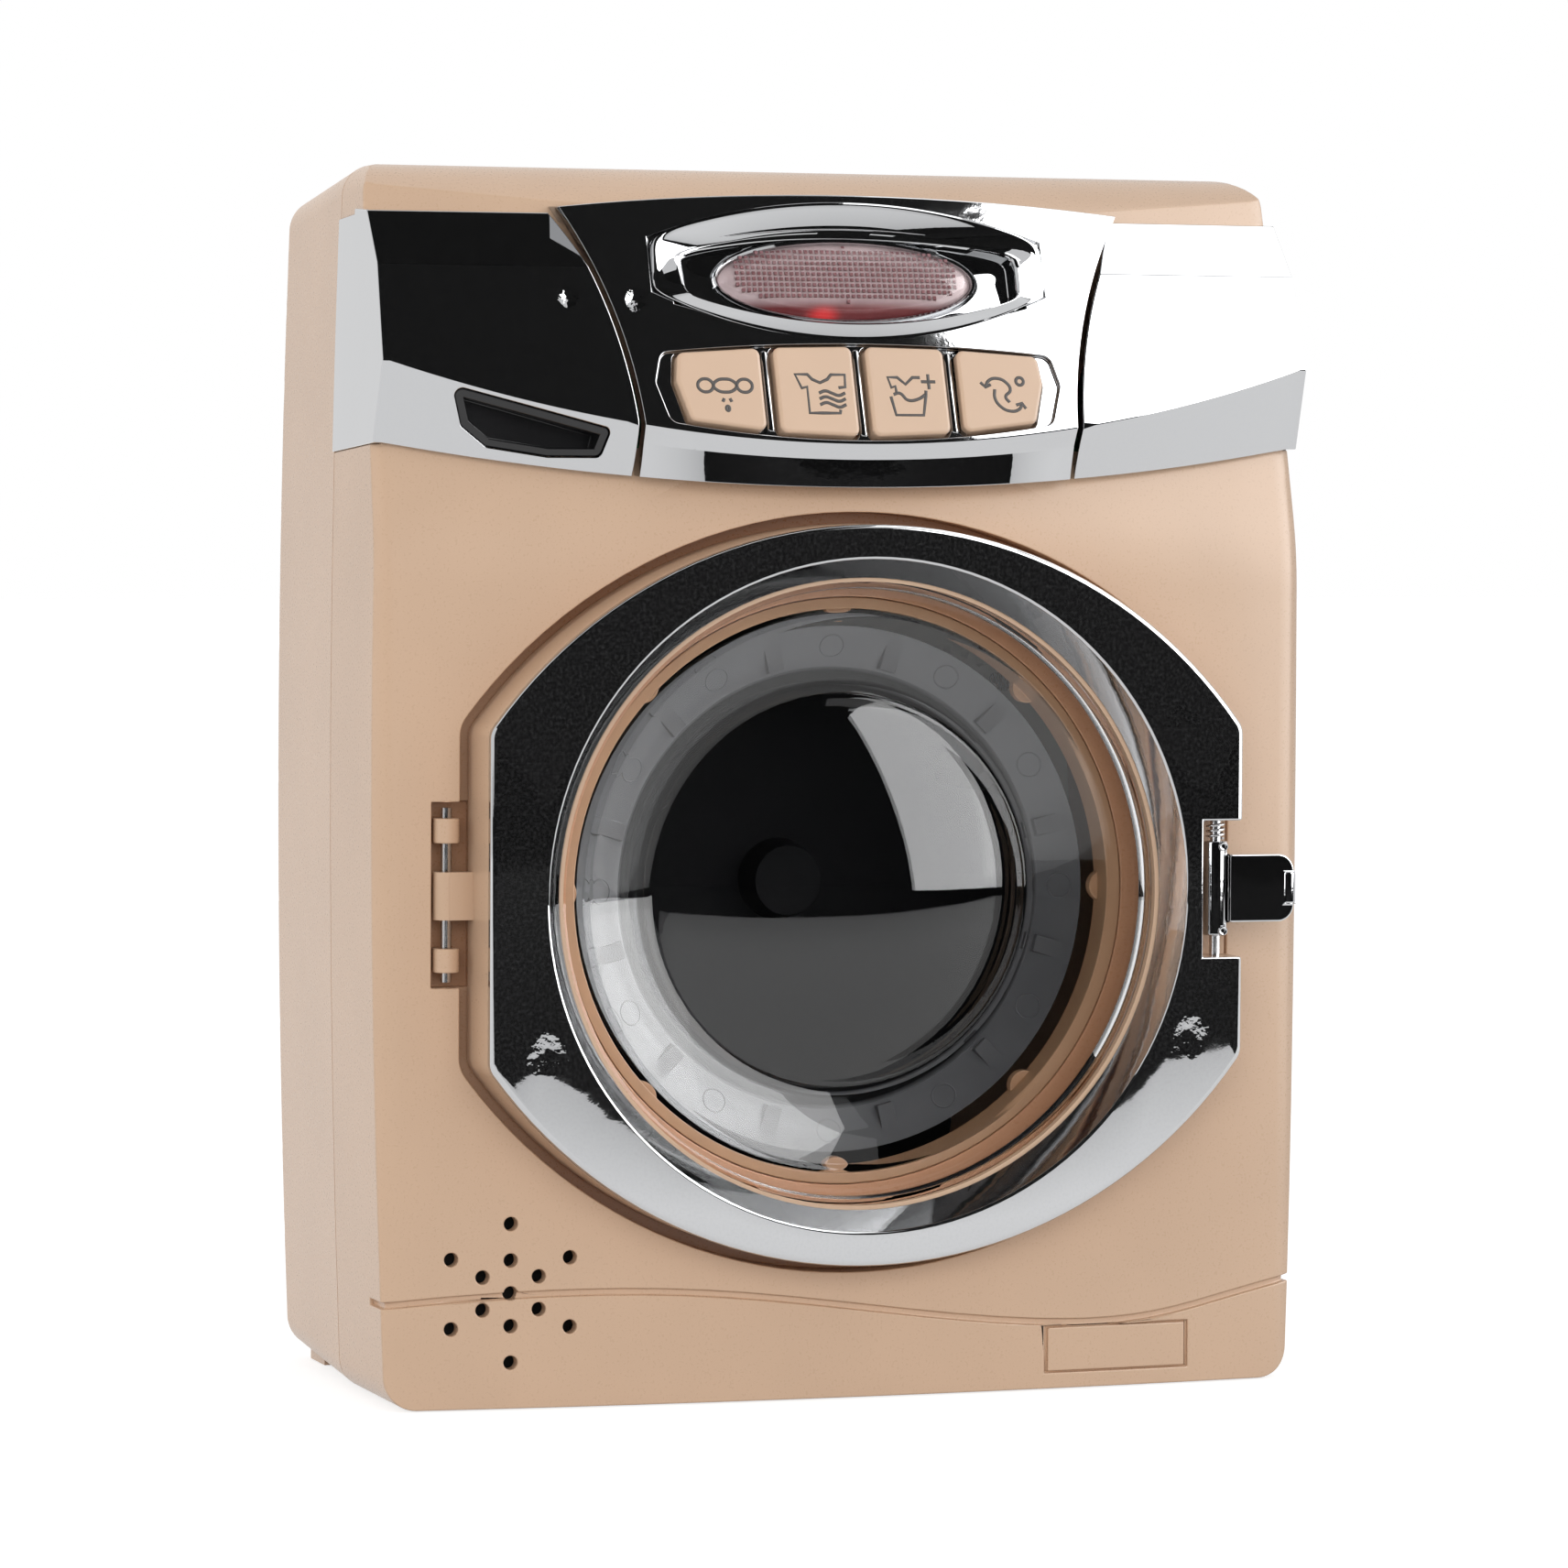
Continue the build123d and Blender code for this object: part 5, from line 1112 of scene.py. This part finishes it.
turns = made_by(tree, "ShaderNodeCombineXYZ", {2: calc(tree, "MULTIPLY", turn, 2 * pi)})
around = made_by(tree, "GeometryNodeInstanceOnPoints", {
    "Points": places, "Instance": moved, "Rotation": turns})
finish_tree(tree, ending, around, finishes["drum_plastic"])
marks = grown_mesh("ejector_marks", tree, {"Count": MARK_COUNT}, drum_place)
for face in marks.polygons:
    face.use_smooth = True
add_piece("ejector_marks", marks, "drum", "drum_plastic")
print("ejector marks", len(marks.polygons), "faces")

# %% [markdown]
# ## Studs on the latch
# The ends of the latch's barrel carry two small bright studs, where the spring steel pin is
# riveted over. Each is a low ring with a dark hollow in its middle.

# %% Latch studs
STUD_PLACES = ((51.7, 76.1), (51.7, 64.3))
STUD_FACE_Y = -35.05
STUD_STEPS = 24
stud_rows = ((0.0, 0.10), (0.28, 0.10), (0.36, 0.34), (0.52, 0.40), (0.66, 0.30), (0.70, 0.0),
             (0.70, -0.6), (0.0, -0.6))
for number, (x, z) in enumerate(STUD_PLACES, 1):
    rings = [[Vector((x + r * across, STUD_FACE_Y - h, z + r * up))
              for across, up in circle(STUD_STEPS)] for r, h in stud_rows]
    add_piece(f"latch_stud_{number}", skin("latch_stud", rings, Matrix.Scale(MM, 4)),
              "latch", "chrome_plating")
print("studs", len(STUD_PLACES))

# %% [markdown]
# ## The light table and the lamps
# The toy stands on a white light table in a studio. The white that the camera sees, straight
# or mirrored or through the window, is stronger than the light that falls on the toy. The
# Light Path node tells the two apart.

# %% White for some rays alone
AMBIENT = 0.55


def white_rays(tree):
    """1 for a camera, glossy or transmitted ray, and 0 for the light on the object."""
    path = add_node(tree, "ShaderNodeLightPath").outputs
    seen = calc(tree, "MAXIMUM", path["Is Camera Ray"], path["Is Glossy Ray"])
    return calc(tree, "MAXIMUM", seen, path["Is Transmission Ray"])


world = bpy.data.worlds.new("studio")
bpy.context.scene.world = world
world.use_nodes = True
sky_tree = world.node_tree
feed(sky_tree, sky_tree.nodes["Background"], Color=(1, 1, 1, 1),
     Strength=spread(sky_tree, white_rays(sky_tree), AMBIENT, 1.0, 0, 1))
print("world ready")

# %% [markdown]
# The table is a wide white board under the toy. Its glow falls off towards the camera, so
# the chrome's white foot gets a soft gradient, and it takes the toy's shadow.

# %% Light table
TABLE_REACH = 6.0
TABLE_Z = -0.0002
TABLE_GLOW = 0.75
GLOW_NEAR, GLOW_FAR = -400, -200


def flat_board(name, low, high, material, **hidden):
    """A flat stage board between two corners, hidden from some kinds of ray."""
    mesh = bpy.data.meshes.new(name)
    corners = (low, (high[0], low[1], low[2]), high, (low[0], high[1], high[2]))
    mesh.from_pydata(corners, [], [(0, 1, 2, 3)])
    board = show(bpy.data.objects.new(name, mesh))
    mesh.materials.append(material)
    set_all(board, **hidden)


table_paper, tree, shader = new_material(
    "table_paper", Base_Color=(0.42, 0.42, 0.42, 1), Roughness=0.9)
nearer = spread(tree, axes(tree)[1], 0.5 * TABLE_GLOW, TABLE_GLOW, GLOW_NEAR, GLOW_FAR)
glow = made_by(tree, "ShaderNodeEmission", {
    "Color": (1, 1, 1, 1), "Strength": calc(tree, "MULTIPLY", nearer, white_rays(tree))})
both = made_by(tree, "ShaderNodeAddShader", {0: shader.outputs[0], 1: glow})
feed(tree, tree.nodes["Material Output"], Surface=both)
flat_board("table", (-TABLE_REACH, -TABLE_REACH, TABLE_Z), (TABLE_REACH, TABLE_REACH, TABLE_Z),
           table_paper)
print("table ready")

# %% [markdown]
# The table ends less than half a metre in front of the toy. Beyond it the studio is black,
# which is why the chrome is black with a white foot. Three boards give that black, hidden
# from the camera and from the light on the toy.

# %% Black boards of the studio
TABLE_EDGE_Y = -0.41
BOARD_Y = -2.2
BOARD_LEFT, BOARD_RIGHT, BOARD_TOP = -2.6, 3.4, 2.3
TOP_RIGHT, TOP_BACK_Y = 0.75, -0.05
FLOOR_Z, FRONT_LOW_Z = 0.0006, -0.1
black = {"Base_Color": (0.012, 0.012, 0.012, 1), "Roughness": 1.0}
black_cloth = new_material("black_cloth", **black)[0]
black_velvet = new_material("black_velvet", Specular_IOR_Level=0.0, **black)[0]
unseen = {"visible_camera": False, "visible_diffuse": False, "visible_shadow": False}
flat_board("board_floor", (BOARD_LEFT, BOARD_Y, FLOOR_Z), (BOARD_RIGHT, TABLE_EDGE_Y, FLOOR_Z),
           black_velvet, **unseen)
flat_board("board_front", (BOARD_LEFT, BOARD_Y, FRONT_LOW_Z), (BOARD_RIGHT, BOARD_Y, BOARD_TOP),
           black_cloth, **unseen)
flat_board("board_top", (BOARD_LEFT, BOARD_Y, BOARD_TOP), (TOP_RIGHT, TOP_BACK_Y, BOARD_TOP),
           black_cloth, **unseen)
print("black boards from y", TABLE_EDGE_Y)

# %% [markdown]
# A large soft lamp at the right shows as the white of the console's right half and as the
# curved bright patch in the window. It and a second one above it are seen by mirrors alone.
# Three lamps that no mirror shows light the plastic from above, in front and the left.

# %% Soft lamps
AIM = Vector((0, -0.03, 0.085))


def soft_lamp(name, azimuth, elevation, distance, width, height, radiance, roll=0.0,
              glossy=True, diffuse=True):
    """A rectangular lamp round AIM; azimuth goes from the front to the right."""
    east, up = radians(azimuth), radians(elevation)
    away = Vector((sin(east) * cos(up), -cos(east) * cos(up), sin(up)))
    data = bpy.data.lights.new(name, "AREA")
    set_all(data, shape="RECTANGLE", size=width, size_y=height, energy=radiance * width * height * pi)
    lamp_object = show(bpy.data.objects.new(name, data))
    turn = away.to_track_quat("Z", "Y").to_matrix().to_4x4()
    lamp_object.matrix_world = (Matrix.Translation(AIM + away * distance) @ turn
                                @ Matrix.Rotation(radians(roll), 4, "Z"))
    set_all(lamp_object, visible_glossy=glossy, visible_transmission=glossy,
            visible_diffuse=diffuse, visible_camera=False)


soft_lamp("key_softbox", 59.5, 21, 0.90, 0.88, 0.84, 5.6, roll=1, diffuse=False)
soft_lamp("high_softbox", 88, 62, 1.20, 0.60, 0.40, 2.0, diffuse=False)
soft_lamp("top_light", 25, 68, 1.20, 0.80, 0.50, 0.6, glossy=False)
soft_lamp("key_light", -8, 10, 1.10, 1.3, 0.8, 2.4, glossy=False)
soft_lamp("left_fill", -100, 20, 1.4, 1.2, 1.2, 1.2, glossy=False)
